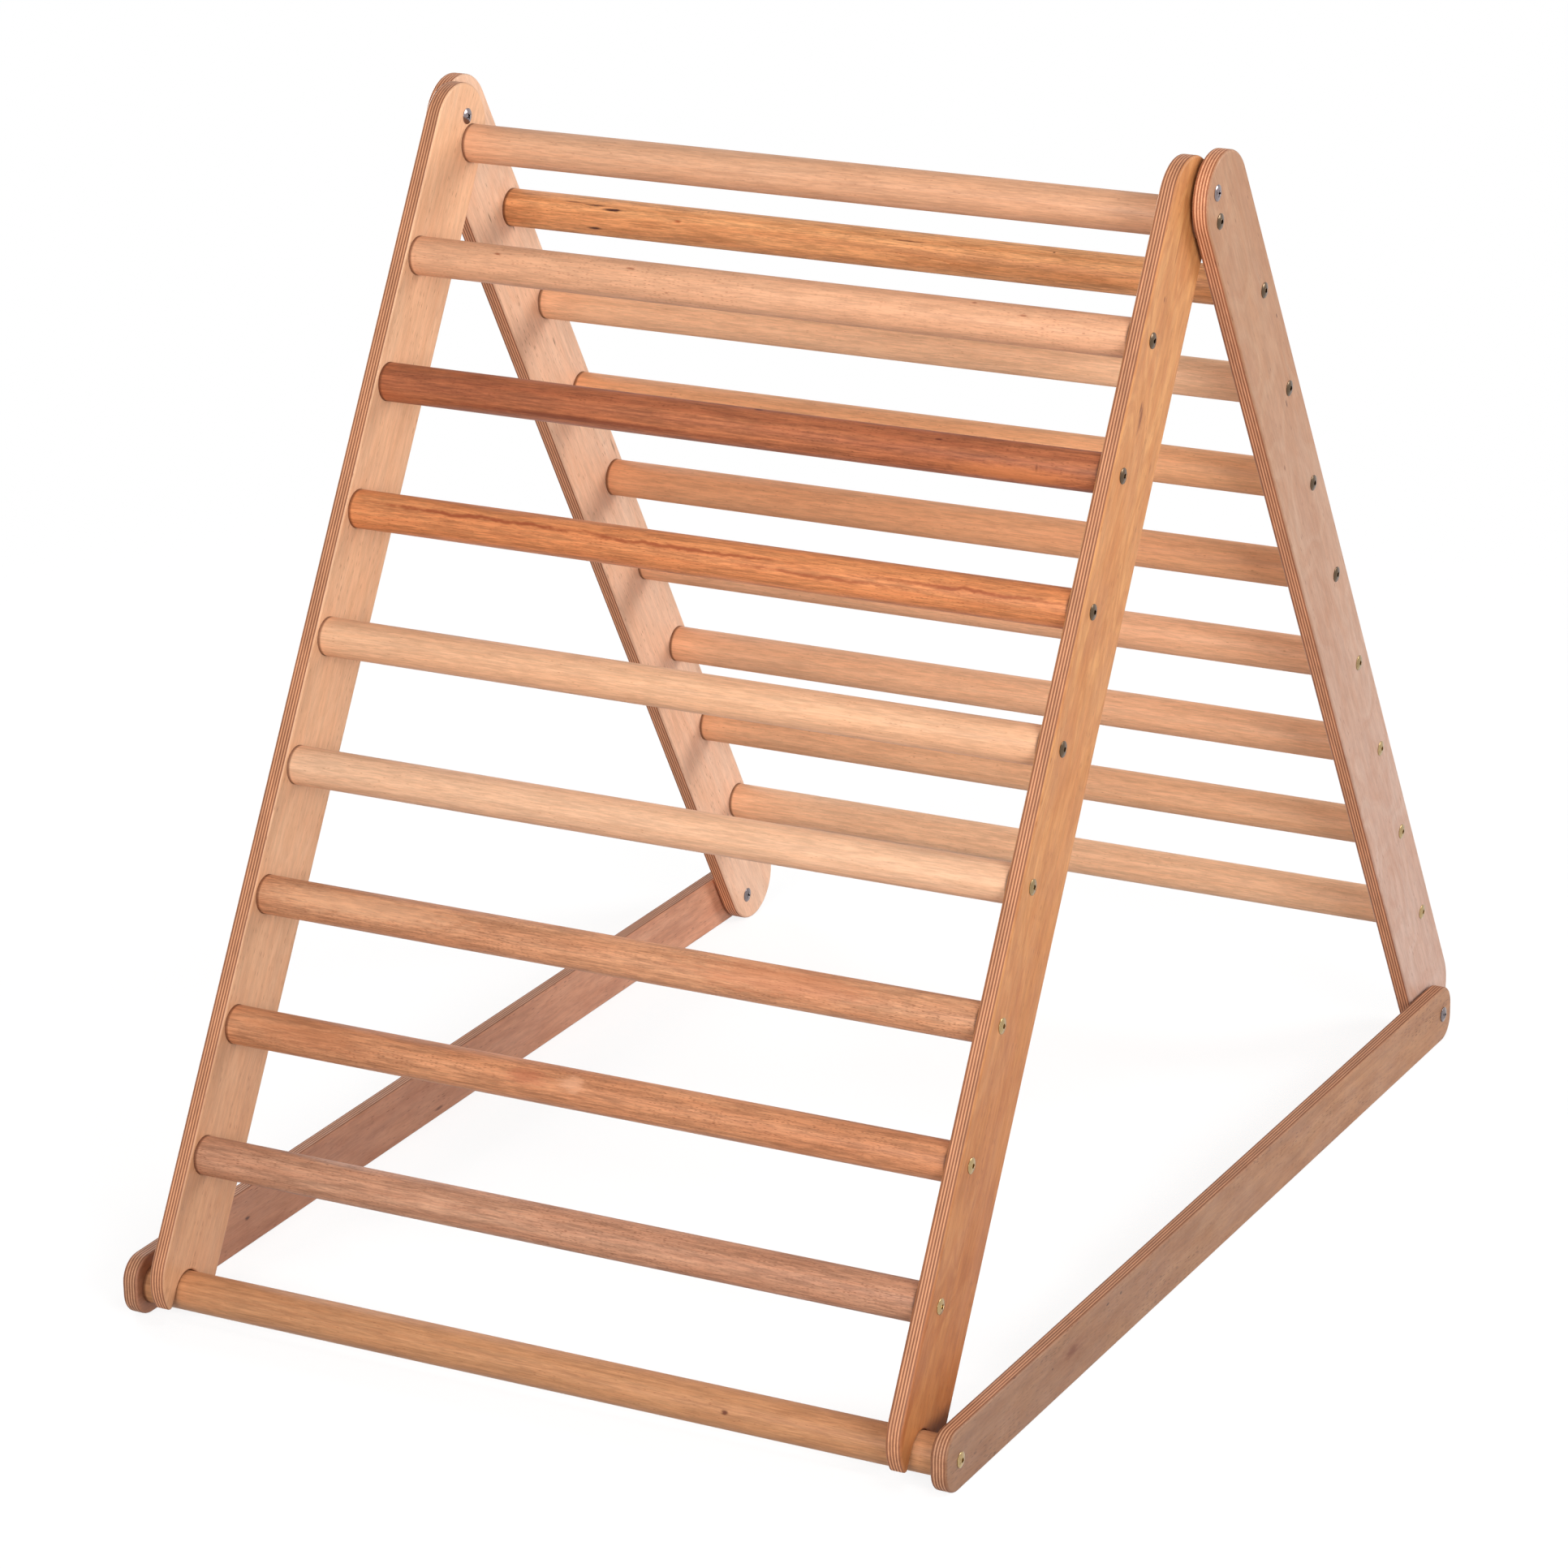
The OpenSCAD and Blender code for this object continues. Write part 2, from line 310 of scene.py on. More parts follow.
@dataclass(frozen=True)
class Output:
    """An output in a node tree. Plain arithmetic on a number lays the nodes that work it out."""

    sketch: Sketch
    socket: Socket

    def __add__(self, other: Number) -> Output:
        """This number plus another."""
        return self.sketch.math("ADD", self, other)

    def __radd__(self, other: float) -> Output:
        """A plain number plus this one."""
        return self.sketch.math("ADD", other, self)

    def __sub__(self, other: Number) -> Output:
        """This number less another."""
        return self.sketch.math("SUBTRACT", self, other)

    def __mul__(self, other: Number) -> Output:
        """This number times another."""
        return self.sketch.math("MULTIPLY", self, other)

    def __truediv__(self, other: Number) -> Output:
        """This number over another."""
        return self.sketch.math("DIVIDE", self, other)

    def __rtruediv__(self, other: float) -> Output:
        """A plain number over this one."""
        return self.sketch.math("DIVIDE", other, self)

    def __pow__(self, power: float) -> Output:
        """This number to a power."""
        return self.sketch.math("POWER", self, power)

    def __abs__(self) -> Output:
        """This number without its sign."""
        return self.sketch.math("ABSOLUTE", self)

    def __neg__(self) -> Output:
        """This number with its sign turned."""
        return self.sketch.math("MULTIPLY", self, -1.0)


Number = Output | float
SOCKET_KINDS = {float: "Float", int: "Int", tuple: "Vector"}


class Sketch:
    """Short-hand for drawing a node tree."""

    def __init__(self, tree: NodeTree) -> None:
        """Starts on a tree."""
        self.tree = tree
        self.given: dict[str, Output] = {}

    @classmethod
    def group(
        cls, name: str, kind: str, inputs: dict[str, object], outputs: dict[str, str]
    ) -> Sketch:
        """Starts a node group with named inputs and outputs.

        Args:
            name: Name of the group.
            kind: Type of the tree.
            inputs: Usual value, or kind of socket where it has none, by name.
            outputs: Kind of socket, by name.

        Returns:
            The sketch of the group, with its inputs as given.
        """
        tree = bpy.data.node_groups.new(name, kind)
        for label, value in inputs.items():
            plain = isinstance(value, str)
            socket = f"NodeSocket{value if plain else SOCKET_KINDS[type(value)]}"
            made = tree.interface.new_socket(label, in_out="INPUT", socket_type=socket)
            if not plain:
                made.default_value = value
        for label, socket in outputs.items():
            tree.interface.new_socket(label, in_out="OUTPUT", socket_type=f"NodeSocket{socket}")
        sketch = cls(tree)
        sketch.given = sketch.named(tree.nodes.new("NodeGroupInput"))
        return sketch

    def finish(self, **results: Output) -> NodeTree:
        """Feeds the group's outputs by name and returns its tree."""
        end = self.tree.nodes.new("NodeGroupOutput")
        for label, value in results.items():
            self.feed(end.inputs[label], value)
        return self.tree

    def named(self, node: bpy.types.Node) -> dict[str, Output]:
        """A node's outputs by name."""
        return {socket.name: Output(self, socket) for socket in node.outputs}

    def feed(self, socket: Socket, value: object) -> None:
        """Links an output to the socket, or sets its value."""
        if isinstance(value, Output):
            self.tree.links.new(value.socket, socket)
        else:
            socket.default_value = value

    def add(
        self, kind: str, feeds: dict[str | int, object] | None = None, **options: object
    ) -> bpy.types.Node:
        """Adds a node.

        Args:
            kind: Type of the node.
            feeds: Values or outputs for its inputs, by name or place.
            **options: Settings of the node.

        Returns:
            The node.
        """
        node = self.tree.nodes.new(kind)
        for name, value in options.items():
            setattr(node, name, value)
        for key, value in (feeds or {}).items():
            self.feed(node.inputs[key], value)
        return node

    def take(
        self,
        kind: str,
        feeds: dict[str | int, object] | None = None,
        output: str | int = 0,
        **options: object,
    ) -> Output:
        """Adds a node and takes one of its outputs, by name or place."""
        return Output(self, self.add(kind, feeds, **options).outputs[output])

    def use(self, group: NodeTree, **feeds: object) -> dict[str, Output]:
        """Places a group; its inputs are named in small letters, with _ for a space."""
        kind = "ShaderNodeGroup" if group.type == "SHADER" else "GeometryNodeGroup"
        by_name = {name.capitalize().replace("_", " "): value for name, value in feeds.items()}
        return self.named(self.add(kind, by_name, node_tree=group))

    def math(self, step: str, *values: Number) -> Output:
        """The outcome of one step of arithmetic."""
        return self.take("ShaderNodeMath", dict(enumerate(values)), operation=step)

    def move(self, step: str, *values: object) -> Output:
        """The outcome of one step of vector arithmetic."""
        return self.take("ShaderNodeVectorMath", dict(enumerate(values)), operation=step)

    def vector(self, x: Number, y: Number, z: Number) -> Output:
        """A vector of three numbers."""
        return self.take("ShaderNodeCombineXYZ", {0: x, 1: y, 2: z})

    def parts(self, vector: Output) -> list[Output]:
        """The three numbers of a vector."""
        return list(self.named(self.add("ShaderNodeSeparateXYZ", {0: vector})).values())

    def scaled(self, vector: Output, scale: Number) -> Output:
        """A vector times a number."""
        return self.take("ShaderNodeVectorMath", {0: vector, "Scale": scale}, operation="SCALE")

    def length(self, vector: Output) -> Output:
        """The length of a vector."""
        return self.take("ShaderNodeVectorMath", {0: vector}, "Value", operation="LENGTH")

    def ramp(
        self, value: Number, low: Number, high: Number, start: float = 0.0, end: float = 1.0
    ) -> Output:
        """A smooth change from start to end while the value goes from low to high."""
        feeds = {0: value, 1: low, 2: high, 3: start, 4: end}
        return self.take("ShaderNodeMapRange", feeds, interpolation_type="SMOOTHSTEP")

    def noise(
        self, place: Output, scale: float = 1.0, detail: float = 2.0, rough: float = 0.5
    ) -> Output:
        """Cloudy noise, 0 to 1, read at a place."""
        feeds = {"Vector": place, "Scale": scale, "Detail": detail, "Roughness": rough}
        return self.take("ShaderNodeTexNoise", feeds, noise_dimensions="3D")

    def between(self, share: Number, first: Number, second: Number) -> Output:
        """A number between two others, by a share of the second."""
        return self.take("ShaderNodeMix", {0: share, 2: first, 3: second}, data_type="FLOAT")

    def blend(self, share: Number, first: object, second: object, kind: str = "MIX") -> Output:
        """A mix of two colours, by a share of the second."""
        first, second = (
            (*colour, 1.0) if isinstance(colour, tuple) else colour for colour in (first, second)
        )
        feeds = {0: share, 6: first, 7: second}
        return self.take("ShaderNodeMix", feeds, 2, data_type="RGBA", blend_type=kind)

    def shaded(self, colour: Output, grey: Output) -> Output:
        """A colour times a number."""
        return self.blend(1.0, colour, self.vector(grey, grey, grey), "MULTIPLY")

    def attribute(self, name: str, output: str) -> Output:
        """An attribute of the mesh."""
        return self.take("ShaderNodeAttribute", output=output, attribute_name=name)

    def relief(
        self, surface: bpy.types.Node, height: Output, strength: float, depth: float
    ) -> None:
        """Gives a surface shader fine relief of this depth, in metres."""
        feeds = {"Strength": strength, "Distance": depth, "Height": height}
        self.feed(surface.inputs["Normal"], self.take("ShaderNodeBump", feeds))

    def store(
        self, geometry: Output, name: str, value: Output, kind: str, domain: str = "POINT"
    ) -> Output:
        """The geometry with a value stored on it as a named attribute."""
        feeds = {"Geometry": geometry, "Name": name, "Value": value}
        return self.take("GeometryNodeStoreNamedAttribute", feeds, data_type=kind, domain=domain)


# --------------------------------------
# Effects that the materials share


def stretched(
    sketch: Sketch, place: Output, along: Number, across: Number, seed: Number
) -> Output:
    """A place shifted by the seed and stretched along the grain.

    Args:
        sketch: Tree that it is drawn in.
        place: Place on the wood.
        along: Steps of the pattern per metre along the grain.
        across: Steps of the pattern per metre across it.
        seed: Number that sets one piece of wood apart from the next.

    Returns:
        The stretched place.
    """
    shift = sketch.vector(seed, seed * SHIFT_ACROSS, seed * SHIFT_THROUGH)
    wide = sketch.move("MULTIPLY", place, sketch.vector(along, across, across))
    return sketch.move("ADD", wide, shift)


@dataclass(frozen=True)
class Grain:
    """Noise that is stretched along the wood's grain.

    Args:
        along: Steps per metre along the grain.
        across: Steps per metre across it.
        detail: Number of finer layers.
        rough: Share of each finer layer.
    """

    along: float
    across: float
    detail: float = 2.0
    rough: float = 0.5

    def read(self, sketch: Sketch, place: Output, seed: Number) -> Output:
        """The noise, 0 to 1, at a place on the piece with this seed."""
        spot = stretched(sketch, place, self.along, self.across, seed)
        return sketch.noise(spot, 1.0, self.detail, self.rough)


SHIFT_ACROSS, SHIFT_THROUGH = 0.37, 0.71
RING_WANDER = Grain(2.6, 16.0, 3.0, 0.55)
LATE_WOOD = Grain(6.0, 60.0)
FINE_FIBRES = Grain(70.0, 900.0, 4.0, 0.65)
COARSE_FIBRES = Grain(16.0, 230.0, 4.0, 0.65)
FLECK_CROWDS = Grain(7.0, 40.0)
TONE_CLOUDS = Grain(3.2, 22.0, 3.0, 0.6)
MOTTLING = Grain(24.0, 85.0, 4.0, 0.65)
PLY_WAVES = Grain(9.0, 9.0)
SHEEN_PATCHES = Grain(14.0, 34.0, 4.0, 0.6)
SOFT_DENTS = Grain(60.0, 110.0)

ON_THE_WOOD = {"Place": "Vector", "Seed": 0.0}


def figure_group() -> NodeTree:
    """Growth rings: bands and thin late-wood lines where the surface cuts them."""
    sketch = Sketch.group(
        "Growth rings",
        "ShaderNodeTree",
        {
            **ON_THE_WOOD,
            "Distance": 0.0,
            "Ring width": 0.003,
            "Wobble": 0.004,
        },
        {"Band": "Float", "Line": "Float"},
    )
    given = sketch.given
    place, seed = given["Place"], given["Seed"]
    ring_shift, line_sharpness = 3.17, 7.0
    swing = (RING_WANDER.read(sketch, place, seed) - 0.5) * given["Wobble"]
    ring = (given["Distance"] + swing) / given["Ring width"] + seed * ring_shift
    feeds = {"W": ring, "Scale": 0.8, "Detail": 3.0, "Roughness": 0.6}
    band = sketch.take("ShaderNodeTexNoise", feeds, noise_dimensions="1D")
    late = sketch.math("FRACT", ring) ** line_sharpness
    strength = sketch.ramp(LATE_WOOD.read(sketch, place, seed), 0.35, 0.7)
    return sketch.finish(Band=sketch.ramp(band, 0.25, 0.75), Line=late * strength)


def fibre_group() -> NodeTree:
    """Fine fibres, short flecks, small mottling and broad clouds of tone along the grain."""
    sketch = Sketch.group(
        "Fibres and flecks",
        "ShaderNodeTree",
        {
            **ON_THE_WOOD,
            "Fleck length": 0.005,
            "Fleck width": 0.0008,
            "Fleck share": 0.3,
        },
        {"Fibre": "Float", "Fleck": "Float", "Cloud": "Float", "Mottle": "Float"},
    )
    given = sketch.given
    place, seed = given["Place"], given["Seed"]
    fine = FINE_FIBRES.read(sketch, place, seed)
    coarse = COARSE_FIBRES.read(sketch, place, seed)
    along, across = 1.0 / given["Fleck length"], 1.0 / given["Fleck width"]
    feeds = {"Vector": stretched(sketch, place, along, across, seed), "Scale": 1.0}
    cells = sketch.named(
        sketch.add("ShaderNodeTexVoronoi", feeds, voronoi_dimensions="3D", feature="F1")
    )
    near = sketch.ramp(cells["Distance"], 0.16, 0.42, 1.0, 0.0)
    kept = sketch.math("LESS_THAN", sketch.parts(cells["Color"])[0], given["Fleck share"])
    crowd = sketch.ramp(FLECK_CROWDS.read(sketch, place, seed), 0.35, 0.65, 0.25)
    return sketch.finish(
        Fibre=sketch.ramp(fine * 0.5 + coarse * 0.5, 0.3, 0.7),
        Fleck=near * kept * crowd,
        Cloud=sketch.ramp(TONE_CLOUDS.read(sketch, place, seed), 0.3, 0.7),
        Mottle=sketch.ramp(MOTTLING.read(sketch, place, seed), 0.35, 0.72),
    )


def mark_group() -> NodeTree:
    """One knot, dark streak or stain: an oval patch with a ragged rim."""
    sketch = Sketch.group(
        "Mark in the wood",
        "ShaderNodeTree",
        {
            "Place": "Vector",
            "Centre": (0.0, 0.0, 0.0),
            "Length": 0.01,
            "Width": 0.004,
            "Wander": 0.0,
            "Strength": 1.0,
        },
        {"Mask": "Float"},
    )
    given = sketch.given
    place = given["Place"]
    bends, raggedness = (22.0, 0.0, 0.0), (90.0, 420.0, 420.0)
    course = sketch.noise(sketch.move("MULTIPLY", place, bends), 1.0, 3.0, 0.6)
    swing = (course - 0.5) * given["Wander"]
    straight = sketch.move("SUBTRACT", place, given["Centre"])
    offset = sketch.move("ADD", straight, sketch.vector(0.0, swing, swing * 0.6))
    ragged = sketch.noise(sketch.move("MULTIPLY", place, raggedness), 1.0, 3.0, 0.6)
    along, across = 2.0 / given["Length"], 2.0 / given["Width"]
    oval = sketch.move("MULTIPLY", offset, sketch.vector(along, across, across))
    reach = sketch.length(oval) + (ragged - 0.5) * 1.4
    return sketch.finish(Mask=sketch.ramp(reach, 0.25, 1.1, 1.0, 0.0) * given["Strength"])


def layer_group() -> NodeTree:
    """Plies of a board, read through its thickness: cross plies, glue lines and gaps."""
    sketch = Sketch.group(
        "Plywood layers",
        "ShaderNodeTree",
        {
            **ON_THE_WOOD,
            "Thickness": 0.015,
            "Plies": 11.0,
            "Cross share": 0.5,
        },
        {"Inside": "Float", "Cross": "Float", "Glue": "Float", "Gap": "Float"},
    )
    given = sketch.given
    place, seed = given["Place"], given["Seed"]
    wave_depth, blur, glue_width = 0.0006, 0.06, 0.07
    gaps_along, ply_shift = 30.0, 7.3
    along, across, through = sketch.parts(place)
    wavy = through + (PLY_WAVES.read(sketch, place, seed) - 0.5) * wave_depth
    step = wavy * given["Plies"] / given["Thickness"]
    middle = given["Plies"] * 0.5
    inside = sketch.ramp(abs(step - middle), middle - 1.05, middle - 0.95, 1.0, 0.0)
    swing = abs(sketch.math("FRACT", (step - 0.5) * 0.5) - 0.5)
    half = given["Cross share"] * 0.5
    cross = sketch.ramp(swing, half - blur, half + blur, 1.0, 0.0)
    own_ply = sketch.math("FLOOR", step) * ply_shift
    spot = sketch.vector(along * gaps_along, across * gaps_along, own_ply)
    shift = sketch.vector(seed, 0.0, 0.0)
    holes = sketch.noise(sketch.move("ADD", spot, shift), 1.0, 2.0, 0.6)
    return sketch.finish(
        Inside=inside,
        Cross=cross,
        Glue=sketch.ramp(abs(swing - half), 0.0, glue_width, 1.0, 0.0),
        Gap=sketch.ramp(holes, 0.70, 0.76) * cross,
    )


def handling_group() -> NodeTree:
    """Unevenness that years of hands and feet leave: uneven sheen and soft dents."""
    sketch = Sketch.group(
        "Handling", "ShaderNodeTree", ON_THE_WOOD, {"Sheen": "Float", "Dents": "Float"}
    )
    place, seed = sketch.given["Place"], sketch.given["Seed"]
    return sketch.finish(
        Sheen=SHEEN_PATCHES.read(sketch, place, seed), Dents=SOFT_DENTS.read(sketch, place, seed)
    )


@dataclass(frozen=True)
class Effects:
    """The shared shader groups, built once."""

    figure: NodeTree
    fibre: NodeTree
    mark: NodeTree
    layers: NodeTree
    handling: NodeTree

    @classmethod
    def build(cls) -> Effects:
        """Builds every shared group."""
        return cls(figure_group(), fibre_group(), mark_group(), layer_group(), handling_group())


# --------------------------------------
# Finishes

KNOT = srgb(92, 44, 22)
# Painted shade where a rung enters a board:
PAINTED_JOINT_SHADE = srgb(96, 52, 32)
PLY_GAP = srgb(70, 36, 22)
RUBBED_EDGE = srgb(150, 90, 58)
TARNISH = srgb(72, 60, 48)
WOOD_RELIEF = (0.25, 0.0002)


@dataclass(frozen=True)
class Mark:
    """A knot, streak or stain at a place on the wood, in metres.

    Args:
        place: Along the grain, across it and through the piece, as its own place attribute has it.
        length: Size along the grain.
        width: Size across it.
        strength: How far it hides the wood, 0 to 1.
        colour: Colour of the mark.
        wander: How far its course strays from a straight line.
    """

    place: tuple[float, float, float]
    length: float
    width: float
    strength: float = 0.8
    colour: Colour = KNOT
    wander: float = 0.0

    def lay(self, sketch: Sketch, effects: Effects, place: Output, colour: Output) -> Output:
        """Lays the mark over a colour.

        Args:
            sketch: Tree of the material.
            effects: Shared groups.
            place: Place on the wood.
            colour: Colour under the mark.

        Returns:
            The marked colour.
        """
        mark = sketch.use(
            effects.mark,
            place=place,
            centre=self.place,
            length=self.length,
            width=self.width,
            wander=self.wander,
            strength=self.strength,
        )
        return sketch.blend(mark["Mask"], colour, self.colour)


@dataclass(frozen=True)
class Oil:
    """The oil on the wood: weight and roughness of its coat, and the shine under it."""

    coat: float
    coat_rough: float
    shine: float

    def dress(self, surface: bpy.types.Node) -> None:
        """Sets a surface shader's coat and shine."""
        surface.inputs["Coat Weight"].default_value = self.coat
        surface.inputs["Coat Roughness"].default_value = self.coat_rough
        surface.inputs["Specular IOR Level"].default_value = self.shine


def new_material(name: str) -> tuple[bpy.types.Material, Sketch, bpy.types.Node]:
    """Starts a material.

    Args:
        name: Name of the material.

    Returns:
        The material, the sketch of its tree and its surface shader.
    """
    material = bpy.data.materials.new(name)
    material.use_nodes = True
    sketch = Sketch(material.node_tree)
    surface = next(n for n in sketch.tree.nodes if n.type == "BSDF_PRINCIPLED")
    return material, sketch, surface


@dataclass(frozen=True)
class WoodFinish:
    """What the finishes of beech and birch have in common; each sets values of its own.

    Args:
        name: Name of the material.
        slot: Name of its kind of material; not used.
        blush: Colour of the broad clouds of tone.
        fleck: Colour of the short flecks.
        band: Strength of the growth rings' bands.
        line: Strength of the late-wood lines.
        cloud: Strength of the clouds.
        mottle: Strength of the small patches.
        ring_width: Distance between growth rings.
        wobble: How far the rings wander.
        fleck_share: Share of the flecks that show.
        fleck_size: Length and width of a fleck.
        fleck_depth: Strength of the flecks' colour.
        seed: Number that sets this piece apart.
        marks: Knots and streaks on it.
        tone: Multiplier that sets its wood apart from its kind; on the pieces near the floor it also
            darkens them as painted shade.
        rough: Roughness, smoothest and dullest.
        oil: The oil on it.
    """

    name: str
    _: KW_ONLY
    slot: str
    blush: Colour
    fleck: Colour
    band: float
    line: float
    cloud: float
    mottle: float
    ring_width: float
    wobble: float
    fleck_share: float
    fleck_size: Point2
    fleck_depth: float
    seed: float = 1.0
    marks: tuple[Mark, ...] = ()
    tone: Colour = (1.0, 1.0, 1.0)
    rough: Point2
    oil: Oil

    def grained(
        self,
        effects: Effects,
        place: Output,
        distance: Output,
        pale: Colour,
        dark: Colour,
        shade: Point2,
    ) -> tuple[Output, dict[str, Output]]:
        """Colours the wood by its growth rings, fibres, flecks and marks.

        Args:
            effects: The shared effects.
            place: Place on the wood.
            distance: Distance from the tree's middle, which the rings follow.
            pale: Colour of the early wood.
            dark: Colour of the late wood and the bands.
            shade: Shade of the fibres, darkest and lightest.

        Returns:
            The colour, and the outputs of the fibres.
        """
        sketch = place.sketch
        feeds = {"distance": distance, "ring_width": self.ring_width, "wobble": self.wobble}
        rings = sketch.use(effects.figure, place=place, seed=self.seed, **feeds)
        length, width = self.fleck_size
        feeds = {"fleck_share": self.fleck_share, "fleck_length": length, "fleck_width": width}
        fibres = sketch.use(effects.fibre, place=place, seed=self.seed, **feeds)
        colour = sketch.blend(rings["Band"] * self.band, pale, dark)
        colour = sketch.blend(fibres["Cloud"] * self.cloud, colour, self.blush)
        colour = sketch.blend(rings["Line"] * self.line, colour, dark)
        colour = sketch.blend(fibres["Mottle"] * self.mottle, colour, dark)
        colour = sketch.shaded(colour, sketch.ramp(fibres["Fibre"], 0.0, 1.0, *shade))
        colour = sketch.blend(fibres["Fleck"] * self.fleck_depth, colour, self.fleck)
        for mark in self.marks:
            colour = mark.lay(sketch, effects, place, colour)
        return colour, fibres


@dataclass(frozen=True, kw_only=True)
class BeechFinish(WoodFinish):
    """Oiled beech of a turned rung.

    Args:
        light: Colour of the early wood.
        dark: Colour of the late wood and the bands.
        fibre: Strength of the fine fibres.
        joint: Distance from the rung's middle to the boards' inner faces, where the rung is darkened
            with painted shade.
        pith: Distance of the tree's middle from the rung's axis.
        seam: Distances from the joint between which the painted shade darkens the rung.
        joint_shade_depth: Strength of the painted shade at the joint.
    """

    light: Colour
    dark: Colour
    slot: str = "beech_light"
    fleck: Colour = srgb(112, 56, 30)
    band: float = 0.35
    line: float = 0.30
    cloud: float = 0.35
    mottle: float = 0.30
    fibre: float = 0.38
    ring_width: float = 0.0026
    wobble: float = 0.006
    fleck_share: float = 0.30
    fleck_size: Point2 = (0.0048, 0.0009)
    fleck_depth: float = 0.6
    joint: float = TriangleSizes().front_face
    pith: float = 0.055
    seam: Point2 = (-0.0035, -0.0012)
    joint_shade_depth: float = 0.75
    rough: Point2 = (0.48, 0.62)
    oil: Oil = Oil(coat=0.04, coat_rough=0.35, shine=0.28)

    def make(self, effects: Effects) -> bpy.types.Material:
        """Builds the material from the shared effects."""
        material, sketch, surface = new_material(self.name)
        place = sketch.attribute(PLACE, "Vector")
        along, across, through = sketch.parts(place)
        distance = sketch.math("SQRT", across**2.0 + (through + self.pith) ** 2.0)
        shade = (1.0 - self.fibre, 1.0 + self.fibre * 0.35)
        colour, fibres = self.grained(effects, place, distance, self.light, self.dark, shade)
        handling = sketch.use(effects.handling, place=place, seed=self.seed)
        colour = sketch.blend(1.0, colour, self.tone, "MULTIPLY")
        # Painted shade: the rung darkens towards its ends, as the dark contact line where it enters
        # the boards.
        joint_painted_shade = sketch.ramp(abs(along) - self.joint, *self.seam, 0.0, self.joint_shade_depth)
        sketch.feed(surface.inputs["Base Color"], sketch.blend(joint_painted_shade, colour, PAINTED_JOINT_SHADE))

        dull = sketch.ramp(handling["Sheen"], 0.25, 0.75, *self.rough)
        sketch.feed(surface.inputs["Roughness"], dull + fibres["Fleck"] * 0.1)
        height = fibres["Fibre"] * 0.35 + handling["Dents"] - fibres["Fleck"]
        sketch.relief(surface, height, *WOOD_RELIEF)
        self.oil.dress(surface)
        return material


@dataclass(frozen=True, kw_only=True)
class PlywoodFinish(WoodFinish):
    """Birch plywood with an oiled face and bare, sanded edges.

    Args:
        face: Colour of the face veneer.
        figure: Colour of the veneer's figure.
        long_ply: Colour of the plies that run along the board, on the edge.
        cross_ply: Colour of the cross plies' end grain.
        sweep: How fast the veneer's figure changes along the board and across it, per metre.
        painted_light_far_tone: The tone at the far end of the span, as painted light: the board
            darker or lighter towards that end because of how light falls.
        painted_light_span: Distances along the board between which the painted light changes the
            tone.
        peel: How deep the veneer's figure runs.
        face_fibre: Shade of the face's fibres, darkest and lightest.
        edge_fibre: Shade of the edge's fibres, darkest and lightest.
        glue_depth: Strength of the glue lines.
        gap_depth: Strength of the gaps in the cross plies.
        rubbed: How far the softened edges are rubbed, least and most.
        bare_rough: What the bare edge adds to the roughness.
        sunk: How far the cross plies sink below the others.
    """

    face: Colour
    figure: Colour
    long_ply: Colour = srgb(230, 166, 126)
    cross_ply: Colour = srgb(158, 94, 62)
    slot: str = "ply"
    fleck: Colour = srgb(128, 72, 44)
    band: float = 0.30
    line: float = 0.22
    cloud: float = 0.40
    mottle: float = 0.25
    sweep: Point2 = (2.2, 10.0)
    painted_light_far_tone: Colour = (1.0, 1.0, 1.0)
    painted_light_span: Point2 = (0.0, 1.0)
    peel: float = 0.10
    ring_width: float = 0.006
    wobble: float = 0.010
    fleck_share: float = 0.15
    fleck_size: Point2 = (0.009, 0.0011)
    fleck_depth: float = 0.7
    face_fibre: Point2 = (0.86, 1.07)
    edge_fibre: Point2 = (0.80, 1.12)
    glue_depth: float = 0.12
    gap_depth: float = 0.85
    rubbed: Point2 = (0.05, 0.22)
    rough: Point2 = (0.42, 0.58)
    bare_rough: float = 0.14
    sunk: float = 0.8
    oil: Oil = Oil(coat=0.05, coat_rough=0.38, shine=0.35)

    def make(self, effects: Effects) -> bpy.types.Material:
        """Builds the material from the shared effects."""
        material, sketch, surface = new_material(self.name)
        place = sketch.attribute(PLACE, "Vector")
        peel = Grain(*self.sweep, rough=0.45).read(sketch, place, self.seed) * self.peel
        face, fibres = self.grained(effects, place, peel, self.face, self.figure, self.face_fibre)
        layers = sketch.use(effects.layers, place=place, seed=self.seed)
        handling = sketch.use(effects.handling, place=place, seed=self.seed)
        # Painted light: the tone changes along the board from tone to painted_light_far_tone over
        # the span, darker or lighter towards one end because of how light falls there.
        share = sketch.ramp(sketch.parts(place)[0], *self.painted_light_span)
        tone = sketch.blend(share, self.tone, self.painted_light_far_tone)
        face = sketch.blend(1.0, face, tone, "MULTIPLY")

        edge = sketch.blend(layers["Cross"], self.long_ply, self.cross_ply)
        edge = sketch.blend(layers["Glue"] * self.glue_depth, edge, self.cross_ply)
        edge = sketch.shaded(edge, sketch.ramp(fibres["Fibre"], 0.0, 1.0, *self.edge_fibre))
        edge = sketch.blend(layers["Gap"] * self.gap_depth, edge, PLY_GAP)

        colour = sketch.blend(layers["Inside"], face, edge)
        worn = sketch.ramp(handling["Sheen"], 0.35, 0.65, *self.rubbed)
        rubbed = sketch.attribute(EASED, "Fac") * worn
        sketch.feed(surface.inputs["Base Color"], sketch.blend(rubbed, colour, RUBBED_EDGE))
        dull = sketch.ramp(handling["Sheen"], 0.25, 0.75, *self.rough)
        sketch.feed(surface.inputs["Roughness"], dull + layers["Inside"] * self.bare_rough)
        sunk = layers["Cross"] * layers["Inside"] * self.sunk
        height = fibres["Fibre"] * 0.35 + handling["Dents"] - (sunk + fibres["Fleck"] * 0.6)
        sketch.relief(surface, height, *WOOD_RELIEF)
        self.oil.dress(surface)
        return material


